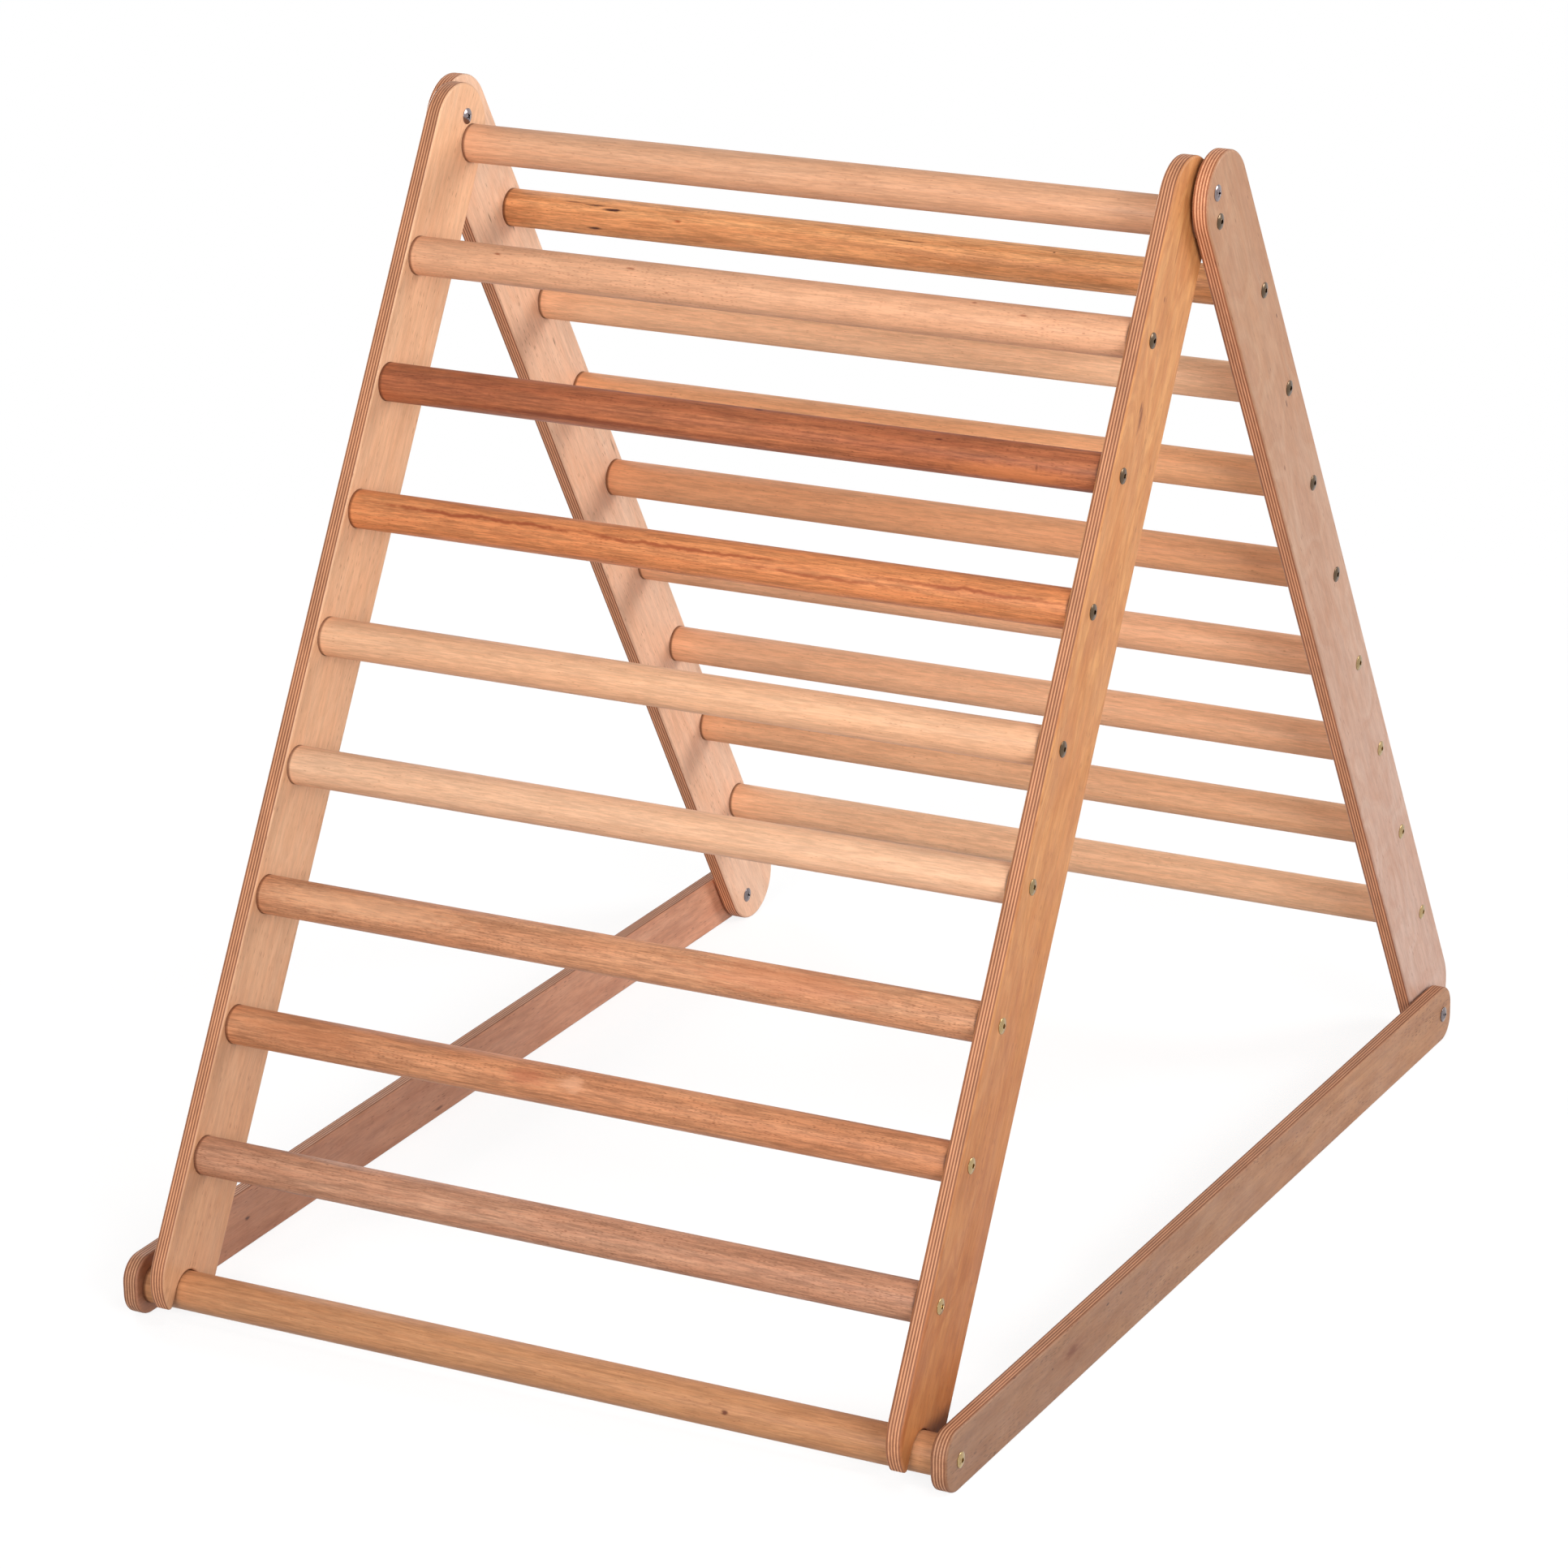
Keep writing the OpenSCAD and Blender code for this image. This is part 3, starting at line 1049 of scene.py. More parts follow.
@dataclass(frozen=True)
class MetalFinish:
    """Plated steel of the fasteners, whose colour follows the object's own coordinates as a painted
    reflection.

    Args:
        name: Name of the material.
        slot: Name of its kind of material; not used.
        high: Colour of the pieces near the top: their plating with a painted reflection.
        low: Colour of the pieces near the floor: their plating with a painted reflection.
        rough: Roughness, smoothest and dullest.
        painted_reflection_height: Height at which one painted reflection colour gives way to the
            other.
        painted_reflection_reach: How far above and below it they mix.
        own_shift: How far each piece's own number moves that height.
        tarnish_scale: Patches of tarnish per metre.
        tarnish: Strength of the tarnish.
        scratch_scale: Fineness of the scratches in each direction.
        scratches: Strength and depth of the scratches.
    """

    name: str
    slot: str
    high: Colour
    low: Colour
    rough: Point2 = (0.14, 0.26)
    painted_reflection_height: float = 0.5
    painted_reflection_reach: float = 0.1
    own_shift: float = 0.12
    tarnish_scale: float = 420.0
    tarnish: float = 0.35
    scratch_scale: tuple[float, float, float] = (300.0, 2400.0, 2400.0)
    scratches: Point2 = (0.12, 0.00005)

    def make(self, effects: Effects) -> bpy.types.Material:
        """Builds the material; it needs none of the wood's effects."""
        material, sketch, surface = new_material(self.name)
        place = sketch.take("ShaderNodeTexCoord", output="Object")
        # Painted reflection: the colour turns from low to high with height, as if the heads mirrored
        # the floor below and the room above; each piece's own number shifts the turn.
        height = sketch.parts(place)[2] + sketch.attribute(OWN, "Fac") * self.own_shift
        low, high = self.painted_reflection_height - self.painted_reflection_reach, self.painted_reflection_height + self.painted_reflection_reach
        colour = sketch.blend(sketch.ramp(height, low, high), self.low, self.high)
        patches = sketch.noise(place, self.tarnish_scale, 4.0, 0.6)
        colour = sketch.blend(sketch.ramp(patches, 0.45, 0.75, 0.0, self.tarnish), colour, TARNISH)
        sketch.feed(surface.inputs["Base Color"], colour)
        sketch.feed(surface.inputs["Roughness"], sketch.ramp(patches, 0.3, 0.7, *self.rough))
        scratches = sketch.noise(sketch.move("MULTIPLY", place, self.scratch_scale))
        sketch.relief(surface, scratches, *self.scratches)
        surface.inputs["Metallic"].default_value = 1.0
        return material


@dataclass(frozen=True)
class NylonFinish:
    """Matt moulded nylon of the washers.

    Args:
        name: Name of the material.
        slot: Name of its kind of material; not used.
        colour: Its colour.
        paler: Multiplier for the colour of the rubbed patches.
        patch_scale: Rubbed patches per metre.
        skin_scale: Fineness of the moulded skin.
        skin: Strength and depth of the skin.
    """

    name: str
    slot: str
    colour: Colour
    paler: float = 1.7
    patch_scale: float = 260.0
    skin_scale: float = 2600.0
    skin: Point2 = (0.3, 0.00005)

    def make(self, effects: Effects) -> bpy.types.Material:
        """Builds the material; it needs none of the wood's effects."""
        material, sketch, surface = new_material(self.name)
        place = sketch.take("ShaderNodeTexCoord", output="Object")
        rubbed = sketch.noise(place, self.patch_scale, 3.0)
        pale = tuple(min(1.0, value * self.paler) for value in self.colour)
        share = sketch.ramp(rubbed, 0.4, 0.7, 0.0, 0.5)
        sketch.feed(surface.inputs["Base Color"], sketch.blend(share, self.colour, pale))
        sketch.feed(surface.inputs["Roughness"], sketch.ramp(rubbed, 0.3, 0.7, 0.62, 0.45))
        sketch.relief(surface, sketch.noise(place, self.skin_scale), *self.skin)
        return material


Finish = BeechFinish | PlywoodFinish | MetalFinish | NylonFinish


# --------------------------------------
# Shape trees

Ring = tuple[object, object, float]


def turned_tree() -> NodeTree:
    """A solid turned about the X axis from a profile of points (along, radius, share of recess).

    Rings whose third number is 1 follow the driver's outline in place of a circle.
    """
    sketch = Sketch.group(
        "Turned solid",
        "GeometryNodeTree",
        {
            "Profile": "Geometry",
            "Sides": 48,
            "Recess corners": 0,
            "Arm ratio": 0.2,
        },
        {"Mesh": "Geometry"},
    )
    given = sketch.given
    profile, sides, ratio = given["Profile"], given["Sides"], given["Arm ratio"]
    points = sketch.take(
        "GeometryNodeAttributeDomainSize", {0: profile}, "Point Count", component="MESH"
    )
    last = points - 1.0
    size = {"Size X": last, "Size Y": sides, "Vertices X": points, "Vertices Y": sides + 1.0}
    grid = sketch.take("GeometryNodeMeshGrid", size)
    position = sketch.take("GeometryNodeInputPosition")
    row, column, _ = sketch.parts(position)
    ring = sketch.math("ROUND", row + last * 0.5)
    angle = (column + sides * 0.5) * math.tau / sides
    feeds = {"Geometry": profile, "Value": position, "Index": ring}
    kind = {"data_type": "FLOAT_VECTOR", "domain": "POINT"}
    along, circle, recess = sketch.parts(sketch.take("GeometryNodeSampleIndex", feeds, **kind))

    sixth = math.tau / int(Driver.HEXAGON)
    wedge = sketch.math("MODULO", angle, sixth) - sixth / 2
    hexagon = 1.0 / sketch.math("COSINE", wedge)
    cosine, sine = sketch.math("COSINE", angle), sketch.math("SINE", angle)
    over = sketch.math("MAXIMUM", abs(cosine), SLIGHT)
    up = sketch.math("MAXIMUM", abs(sine), SLIGHT)
    flat_arm = sketch.math("MINIMUM", 1.0 / over, ratio / up)
    tall_arm = sketch.math("MINIMUM", 1.0 / up, ratio / over)
    cross = sketch.math("MAXIMUM", flat_arm, tall_arm)
    is_cross = sketch.math("COMPARE", given["Recess corners"], float(Driver.CROSS), 0.5)
    outline = sketch.between(is_cross, hexagon, cross)
    radius = circle * sketch.between(recess, 1.0, outline)
    place = sketch.vector(along, radius * cosine, radius * sine)
    shaped = sketch.take("GeometryNodeSetPosition", {"Geometry": grid, "Position": place})
    feeds = {"Geometry": shaped, "Distance": MERGE_REACH}
    return sketch.finish(Mesh=sketch.take("GeometryNodeMergeByDistance", feeds))


def profile_mesh(sketch: Sketch, rings: Sequence[Ring]) -> Output:
    """A chain of points for the turned solid, each (along, radius, share of recess)."""
    line = sketch.take("GeometryNodeMeshLine", {"Count": len(rings)})
    switch = sketch.add("GeometryNodeIndexSwitch", data_type="VECTOR")
    while len(switch.index_switch_items) < len(rings):
        switch.index_switch_items.new()
    sketch.feed(switch.inputs[0], sketch.take("GeometryNodeInputIndex"))
    for number, ring in enumerate(rings):
        sketch.feed(switch.inputs[number + 1], sketch.vector(*ring))
    feeds = {"Geometry": line, "Position": Output(sketch, switch.outputs[0])}
    return sketch.take("GeometryNodeSetPosition", feeds)


def round_edge(along: Number, radius: Output, ease: Output, flip: float = 1.0) -> list[Ring]:
    """Rings of a quarter round from an end face, out to the side.

    Args:
        along: Place of the end face.
        radius: Radius of the side.
        ease: Radius of the softened edge.
        flip: 1 where the end face looks along +X, -1 where it looks back.

    Returns:
        The rings, from the face to the side.
    """
    steps = 3
    turns = [QUARTER * step / steps for step in range(steps + 1)]
    return [
        (along + ease * (-flip * (1 - math.cos(t))), radius + ease * (math.sin(t) - 1), 0.0)
        for t in turns
    ]


def rung_tree(turned: NodeTree) -> NodeTree:
    """One rung: a turned rod with softened ends and screw holes, by its number down the ladder."""
    sketch = Sketch.group(
        "Rung on a ladder",
        "GeometryNodeTree",
        {
            "Geometry": "Geometry",
            "Length": 0.715,
            "Diameter": 0.035,
            "End ease": 0.0008,
            "Hole diameter": 0.0062,
            "Hole depth": 0.045,
            "Sides": 96,
            "First place": (0.0, 0.0, 0.0),
            "Down the ladder": (0.0, 0.0, -1.0),
            "Pitch": 0.118,
            "Rung number": 1,
            "Grain turn": 0.0,
            "Finish": "Material",
        },
        {"Geometry": "Geometry"},
    )
    given = sketch.given
    end, radius = given["Length"] * 0.5, given["Diameter"] * 0.5
    bore, bottom = given["Hole diameter"] * 0.5, end - given["Hole depth"]
    half = [(bottom, 0.0, 0.0), (bottom, bore, 0.0), (end, bore, 0.0)]
    half += round_edge(end, radius, given["End ease"])
    other = [(-along, across, recess) for along, across, recess in reversed(half)]
    profile = profile_mesh(sketch, half + other)
    solid = sketch.use(turned, profile=profile, sides=given["Sides"])["Mesh"]
    feeds = {"Vector": sketch.take("GeometryNodeInputPosition"), "Angle": given["Grain turn"]}
    grain = sketch.take("ShaderNodeVectorRotate", feeds, rotation_type="X_AXIS")
    stored = sketch.store(solid, PLACE, grain, "FLOAT_VECTOR")
    steps = (given["Rung number"] - 1.0) * given["Pitch"]
    down = sketch.scaled(given["Down the ladder"], steps)
    feeds = {"Geometry": stored, "Offset": sketch.move("ADD", given["First place"], down)}
    return sketch.finish(Geometry=dressed(sketch, sketch.take("GeometryNodeSetPosition", feeds)))


def dressed(sketch: Sketch, geometry: Output) -> Output:
    """Makes geometry real and gives it the tree's finish."""
    real = sketch.take("GeometryNodeRealizeInstances", {0: geometry})
    feeds = {"Geometry": real, "Material": sketch.given["Finish"]}
    return sketch.take("GeometryNodeSetMaterial", feeds)


def put_in_place(sketch: Sketch, solid: Output) -> Output:
    """Sets a solid on every given point, its head looking outwards or inwards, turned at random.

    Args:
        sketch: Tree with the inputs Geometry, Outwards, Seed and Finish.
        solid: Solid whose head looks along +X.

    Returns:
        The dressed pieces as one mesh.
    """
    given = sketch.given
    spot = sketch.parts(sketch.take("GeometryNodeInputPosition"))
    looks = sketch.math("SIGN", spot[0]) * given["Outwards"]
    about = sketch.math("LESS_THAN", looks, 0.0) * math.pi
    feeds = {"Min": 0.0, "Max": math.tau, "Seed": given["Seed"]}
    spin = sketch.add("FunctionNodeRandomValue", feeds, data_type="FLOAT")
    spun = Output(sketch, next(socket for socket in spin.outputs if socket.enabled))
    turn = sketch.take("FunctionNodeEulerToRotation", {0: sketch.vector(spun, 0.0, about)})
    feeds = {"Points": given["Geometry"], "Instance": solid, "Rotation": turn}
    placed = sketch.take("GeometryNodeInstanceOnPoints", feeds)
    return dressed(sketch, sketch.store(placed, OWN, spun / math.tau, "FLOAT", "INSTANCE"))


def fastener_tree(turned: NodeTree) -> NodeTree:
    """Screws and bolts with a domed head, a driver's recess and a plain or bored shank."""
    sketch = Sketch.group(
        "Fasteners in place",
        "GeometryNodeTree",
        {
            "Geometry": "Geometry",
            "Head diameter": 0.014,
            "Head height": 0.002,
            "Rim height": 0.0005,
            "Shank diameter": 0.006,
            "Shank length": 0.055,
            "Bore diameter": 0.0,
            "Bore end": 0.001,
            "Recess corners": 6,
            "Recess reach": 0.002,
            "Recess depth": 0.0016,
            "Arm ratio": 0.2,
            "Sides": 96,
            "Outwards": 1.0,
            "Seed": 1,
            "Finish": "Material",
        },
        {"Geometry": "Geometry"},
    )
    given = sketch.given
    height, rim, reach = given["Head height"], given["Rim height"], given["Recess reach"]
    head_r, shank_r = given["Head diameter"] * 0.5, given["Shank diameter"] * 0.5
    bore_r, tip = given["Bore diameter"] * 0.5, -given["Shank length"]
    rise, floor = height - rim, height - given["Recess depth"]
    tip_ease, rim_ease, mouth_ease = 0.0004, 0.00012, 0.00022
    bored = sketch.math("GREATER_THAN", given["Bore diameter"], 0.0001)
    bore_stop = sketch.between(bored, tip, -given["Bore end"])
    rings = [
        (bore_stop, 0.0, 0.0),
        (bore_stop, bore_r, 0.0),
        (tip, bore_r, 0.0),
        (tip, shank_r - tip_ease, 0.0),
        (tip + tip_ease, shank_r, 0.0),
        (0.0, shank_r, 0.0),
        (0.0, head_r - rim_ease, 0.0),
        (rim_ease, head_r, 0.0),
        (rim - 0.00005, head_r, 0.0),
    ]
    for share in (0.99, 0.95, 0.88, 0.78, 0.66, 0.54, 0.42, 0.34):
        rings.append((rim + rise * (1 - share * share), head_r * share, 0.0))
    rings += [
        (height - 0.00008, reach * 1.06, 1.0),
        (height - mouth_ease, reach, 1.0),
        (floor, reach * 0.93, 1.0),
        (floor - 0.0002, 0.0, 0.0),
    ]
    solid = sketch.use(
        turned,
        profile=profile_mesh(sketch, rings),
        sides=given["Sides"],
        recess_corners=given["Recess corners"],
        arm_ratio=given["Arm ratio"],
    )
    return sketch.finish(Geometry=put_in_place(sketch, solid["Mesh"]))


def washer_tree(turned: NodeTree) -> NodeTree:
    """Washers with softened outer edges."""
    sketch = Sketch.group(
        "Washers in place",
        "GeometryNodeTree",
        {
            "Geometry": "Geometry",
            "Outer diameter": 0.016,
            "Bore diameter": 0.0082,
            "Thickness": 0.0027,
            "Ease": 0.0003,
            "Sides": 72,
            "Outwards": 1.0,
            "Seed": 1,
            "Finish": "Material",
        },
        {"Geometry": "Geometry"},
    )
    given = sketch.given
    outer, bore = given["Outer diameter"] * 0.5, given["Bore diameter"] * 0.5
    thick, ease = given["Thickness"], given["Ease"]
    rings = [(0.0, bore, 0.0)]
    rings += round_edge(0.0, outer, ease, flip=-1.0)
    rings += reversed(round_edge(thick, outer, ease))
    rings += [(thick, bore, 0.0), (0.0, bore, 0.0)]
    solid = sketch.use(turned, profile=profile_mesh(sketch, rings), sides=given["Sides"])
    return sketch.finish(Geometry=put_in_place(sketch, solid["Mesh"]))


@dataclass(frozen=True)
class ShapeTrees:
    """The geometry trees, built once."""

    rung: NodeTree
    fastener: NodeTree
    washer: NodeTree

    @classmethod
    def build(cls) -> ShapeTrees:
        """Builds every tree on the shared turned solid."""
        turned = turned_tree()
        return cls(rung_tree(turned), fastener_tree(turned), washer_tree(turned))


def finish_mesh(mesh: bpy.types.Mesh) -> None:
    """Makes the faces look outwards and shades them smooth, but for the sharp edges."""
    work = bmesh.new()
    work.from_mesh(mesh)
    bmesh.ops.recalc_face_normals(work, faces=work.faces)
    work.to_mesh(mesh)
    work.free()
    mesh.shade_smooth()
    mesh.set_sharp_from_angle(angle=math.radians(SHARP_ANGLE))


def grow(
    name: str, tree: NodeTree, points: Sequence[Vector], inputs: dict[str, object]
) -> bpy.types.Object:
    """Runs a shape tree on a few points and keeps the result as a plain mesh.

    Args:
        name: Name of the piece.
        tree: Tree to run.
        points: Points that the tree starts from.
        inputs: Values for the tree's named inputs.

    Returns:
        The piece, with its place in its mesh.
    """
    start = bpy.data.meshes.new(f"{name}_points")
    start.from_pydata([tuple(point) for point in points], [], [])
    piece = bpy.data.objects.new(name, start)
    bpy.context.scene.collection.objects.link(piece)
    modifier = piece.modifiers.new("shape", "NODES")
    modifier.node_group = tree
    sockets = {
        item.name: item.identifier
        for item in tree.interface.items_tree
        if item.item_type == "SOCKET" and item.in_out == "INPUT"
    }
    for label, value in inputs.items():
        modifier[sockets[label]] = value
    graph = bpy.context.evaluated_depsgraph_get()
    made = bpy.data.meshes.new_from_object(
        piece.evaluated_get(graph), preserve_all_data_layers=True, depsgraph=graph
    )
    made.name = name
    piece.modifiers.clear()
    piece.data = made
    bpy.data.meshes.remove(start)
    finish_mesh(made)
    return piece


# --------------------------------------
# Plywood boards


@dataclass(frozen=True)
class Hole:
    """A hole in a board, as rings of radius and depth from the inner face to the outer face."""

    along: float
    across: float
    rings: tuple[Point2, ...]

    @staticmethod
    def mouth(radius: float, ease: float) -> list[Point2]:
        """Rings of a softened mouth, from the face down."""
        return [
            (radius + ease + FLAT_RIM, 0.0),
            (radius + ease, 0.0),
            (radius + 0.3 * ease, 0.3 * ease),
            (radius, ease),
        ]

    @classmethod
    def through(cls, place: Point2, radius: float, ply: float, ease: float) -> Hole:
        """A plain hole with softened mouths."""
        near = cls.mouth(radius, ease)
        far = [(r, ply - depth) for r, depth in reversed(near)]
        return cls(*place, (*near, *far))

    @classmethod
    def seat(cls, place: Point2, radius: float, depth: float, screw_r: float, ply: float) -> Hole:
        """A blind seat with a screw's hole behind it."""
        ease, small = 0.0004, 0.0002
        behind = (
            (radius, depth),
            (screw_r, depth),
            (screw_r, ply - small),
            (screw_r + small, ply),
            (screw_r + small + FLAT_RIM, ply),
        )
        return cls(*place, (*cls.mouth(radius, ease), *behind))


@dataclass
class Board:
    """A plywood board with softened edges.

    Args:
        name: Name of the piece.
        side: Side of the object.
        face: Distance of its inner face from the middle of the object.
        ply: Thickness.
        plane: Plane that it is drawn in.
        outline: Gives its outline, drawn in by a distance.
        holes: Its holes.
        ease: Radius of its softened edges.
        sides: Number of points round a hole.
        points: Its points so far, each (along, across, depth).
        worn: How far each point lies on a softened edge, 0 to 1.
        faces: Its faces so far.
    """

    name: str
    side: Side
    face: float
    ply: float
    plane: BoardPlane
    outline: Callable[[float], list[Point2]]
    holes: list[Hole]
    ease: float = 0.0022
    sides: int = 72
    points: list[tuple[float, float, float]] = field(default_factory=list)
    worn: list[float] = field(default_factory=list)
    faces: list[tuple[int, ...]] = field(default_factory=list)

    def edge_rings(self) -> list[tuple[float, float, float]]:
        """Rings of the outer edge, from the inner face to the outer: (drawn in, depth, eased)."""
        flat, steps = 0.0004, 5
        near = [(self.ease + flat, 0.0, 0.0)]
        for step in range(steps + 1):
            turn = QUARTER * (steps - step) / steps
            drawn = self.ease * (1 - math.cos(turn))
            near.append((drawn, self.ease * (1 - math.sin(turn)), math.sin(2 * turn)))
        near.append((0.0, self.ease + flat, 0.0))
        far = [(drawn, self.ply - depth, eased) for drawn, depth, eased in reversed(near)]
        return near + far

    def add_ring(self, ring: Sequence[Point2], depth: float, eased: float) -> list[int]:
        """Adds one closed ring of points at a depth and returns their numbers."""
        start = len(self.points)
        self.points += [(along, across, depth) for along, across in ring]
        self.worn += [eased] * len(ring)
        return list(range(start, len(self.points)))

    def wall(self, rings: list[list[int]]) -> None:
        """Joins a stack of rings of equal length with quads."""
        for first, second in zip(rings, rings[1:]):
            for i, corner in enumerate(first):
                j = (i + 1) % len(first)
                self.faces.append((corner, first[j], second[j], second[i]))

    def cap(self, loops: list[list[int]]) -> None:
        """Fills a face of the board between its outer ring and its holes."""
        numbers = [number for loop in loops for number in loop]
        flat = [[Vector((*self.points[number][:2], 0.0)) for number in loop] for loop in loops]
        for triangle in tessellate_polygon(flat):
            self.faces.append(tuple(numbers[corner] for corner in triangle))

    def draw(self) -> None:
        """Draws its edge, the walls of its holes and its two faces."""
        rings = [self.add_ring(self.outline(drawn), *rest) for drawn, *rest in self.edge_rings()]
        walls = [rings]
        for hole in self.holes:
            centre = (hole.along, hole.across)
            rings = []
            for radius, depth in hole.rings:
                ring = arc(centre, radius, 0.0, math.tau, self.sides)[:-1]
                rings.append(self.add_ring(ring, depth, 0.0))
            walls.append(rings)
        for rings in walls:
            self.wall(rings)
        self.cap([rings[0] for rings in walls])
        self.cap([rings[-1] for rings in walls])

    def build(self, finish: bpy.types.Material) -> bpy.types.Object:
        """Builds the board in place.

        Args:
            finish: Its material.

        Returns:
            The piece, with its place on the wood as an attribute.
        """
        self.draw()
        mesh = bpy.data.meshes.new(self.name)
        placed = []
        for along, across, depth in self.points:
            spot = self.plane.point(along, across)
            placed.append((self.side * (self.face + depth), spot.y, spot.z))
        mesh.from_pydata(placed, [], self.faces)
        mesh.update()
        place = mesh.attributes.new(PLACE, "FLOAT_VECTOR", "POINT")
        place.data.foreach_set("vector", [number for point in self.points for number in point])
        eased = mesh.attributes.new(EASED, "FLOAT", "POINT")
        eased.data.foreach_set("value", self.worn)
        finish_mesh(mesh)
        mesh.materials.append(finish)
        piece = bpy.data.objects.new(self.name, mesh)
        bpy.context.scene.collection.objects.link(piece)
        return piece


def arc(centre: Point2, radius: float, start: float, end: float, steps: int) -> list[Point2]:
    """Points of an arc; angles in radians from the along direction towards the across direction."""
    turns = [start + (end - start) * i / steps for i in range(steps + 1)]
    return [(centre[0] + radius * math.cos(t), centre[1] + radius * math.sin(t)) for t in turns]


@dataclass(frozen=True)
class Notch:
    """A front foot's notch, with the radii of the prongs' tips in front of it and behind."""

    step: float
    line: float
    radius: float
    toe_r: float
    heel_r: float


@dataclass(frozen=True)
class RailOutline:
    """A straight rail with round ends, whose foot may have a notch; rise is its top's centre."""

    centre: float
    radius: float
    rise: float
    foot: float
    notch: Notch | None = None

    def tip(self, edge: float, tip_r: float) -> Point2:
        """Distances of a prong's tip from the foot's centre, by those of its side and radius."""
        away = edge + tip_r
        return math.sqrt((self.radius - tip_r) ** 2 - away**2), away

    def __call__(self, drawn: float) -> list[Point2]:
        """The outline, drawn in by a distance."""
        radius = self.radius - drawn
        centre = self.centre
        foot = (self.foot, centre)
        points = arc((-self.rise, centre), radius, QUARTER, QUARTER + math.pi, 48)
        if self.notch is None:
            return points + arc(foot, radius, -QUARTER, QUARTER, 48)
        notch = self.notch
        shift = centre - notch.line
        down, away = self.tip(notch.radius + shift, notch.heel_r)
        turn = math.atan2(away, down)
        heel = (self.foot + down, centre - away)
        points += arc(foot, radius, -QUARTER, -turn, 12)
        points += arc(heel, notch.heel_r - drawn, -turn, QUARTER, 16)
        round_end = (notch.step, notch.line)
        points += arc(round_end, notch.radius + drawn, -QUARTER, -QUARTER - math.pi, 36)
        down, away = self.tip(notch.radius - shift, notch.toe_r)
        turn = math.atan2(away, down)
        toe = (self.foot + down, centre + away)
        points += arc(toe, notch.toe_r - drawn, -QUARTER, turn, 12)
        return points + arc(foot, radius, turn, QUARTER, 18)


@dataclass(frozen=True)
class ArmOutline:
    """An arm's rectangle, from its front end to its rear end along Y, with round corners."""

    front: float
    rear: float
    height: float
    corner: float

    def __call__(self, drawn: float) -> list[Point2]:
        """The outline, drawn in by a distance."""
        near, far = self.front + self.corner, self.rear - self.corner
        low, high = self.corner, self.height - self.corner
        centres = [(far, high), (near, high), (near, low), (far, low)]
        points = []
        for number, centre in enumerate(centres):
            start = number * QUARTER
            points += arc(centre, self.corner - drawn, start, start + QUARTER, 12)
        return points


# --------------------------------------
# The object's sub-assemblies


@dataclass(frozen=True)
class Shank:
    """The shank of a screw, bolt or sleeve.

    Args:
        diameter: Its diameter.
        length: Its length from under the head.
        bore: Diameter of the blind bore from its end, or 0.
    """

    diameter: float
    length: float
    bore: float = 0.0


@dataclass(frozen=True)
class Head:
    """The head of a screw or bolt.

    Args:
        diameter: Its diameter.
        driver: Kind of recess in it.
        reach: Distance of the recess's corners from the middle.
        depth: Depth of the recess.
        sides: Number of points round it.
        finish: Finish of the whole piece.
    """

    diameter: float
    driver: Driver
    reach: float
    depth: float
    sides: int
    finish: MetalFinish


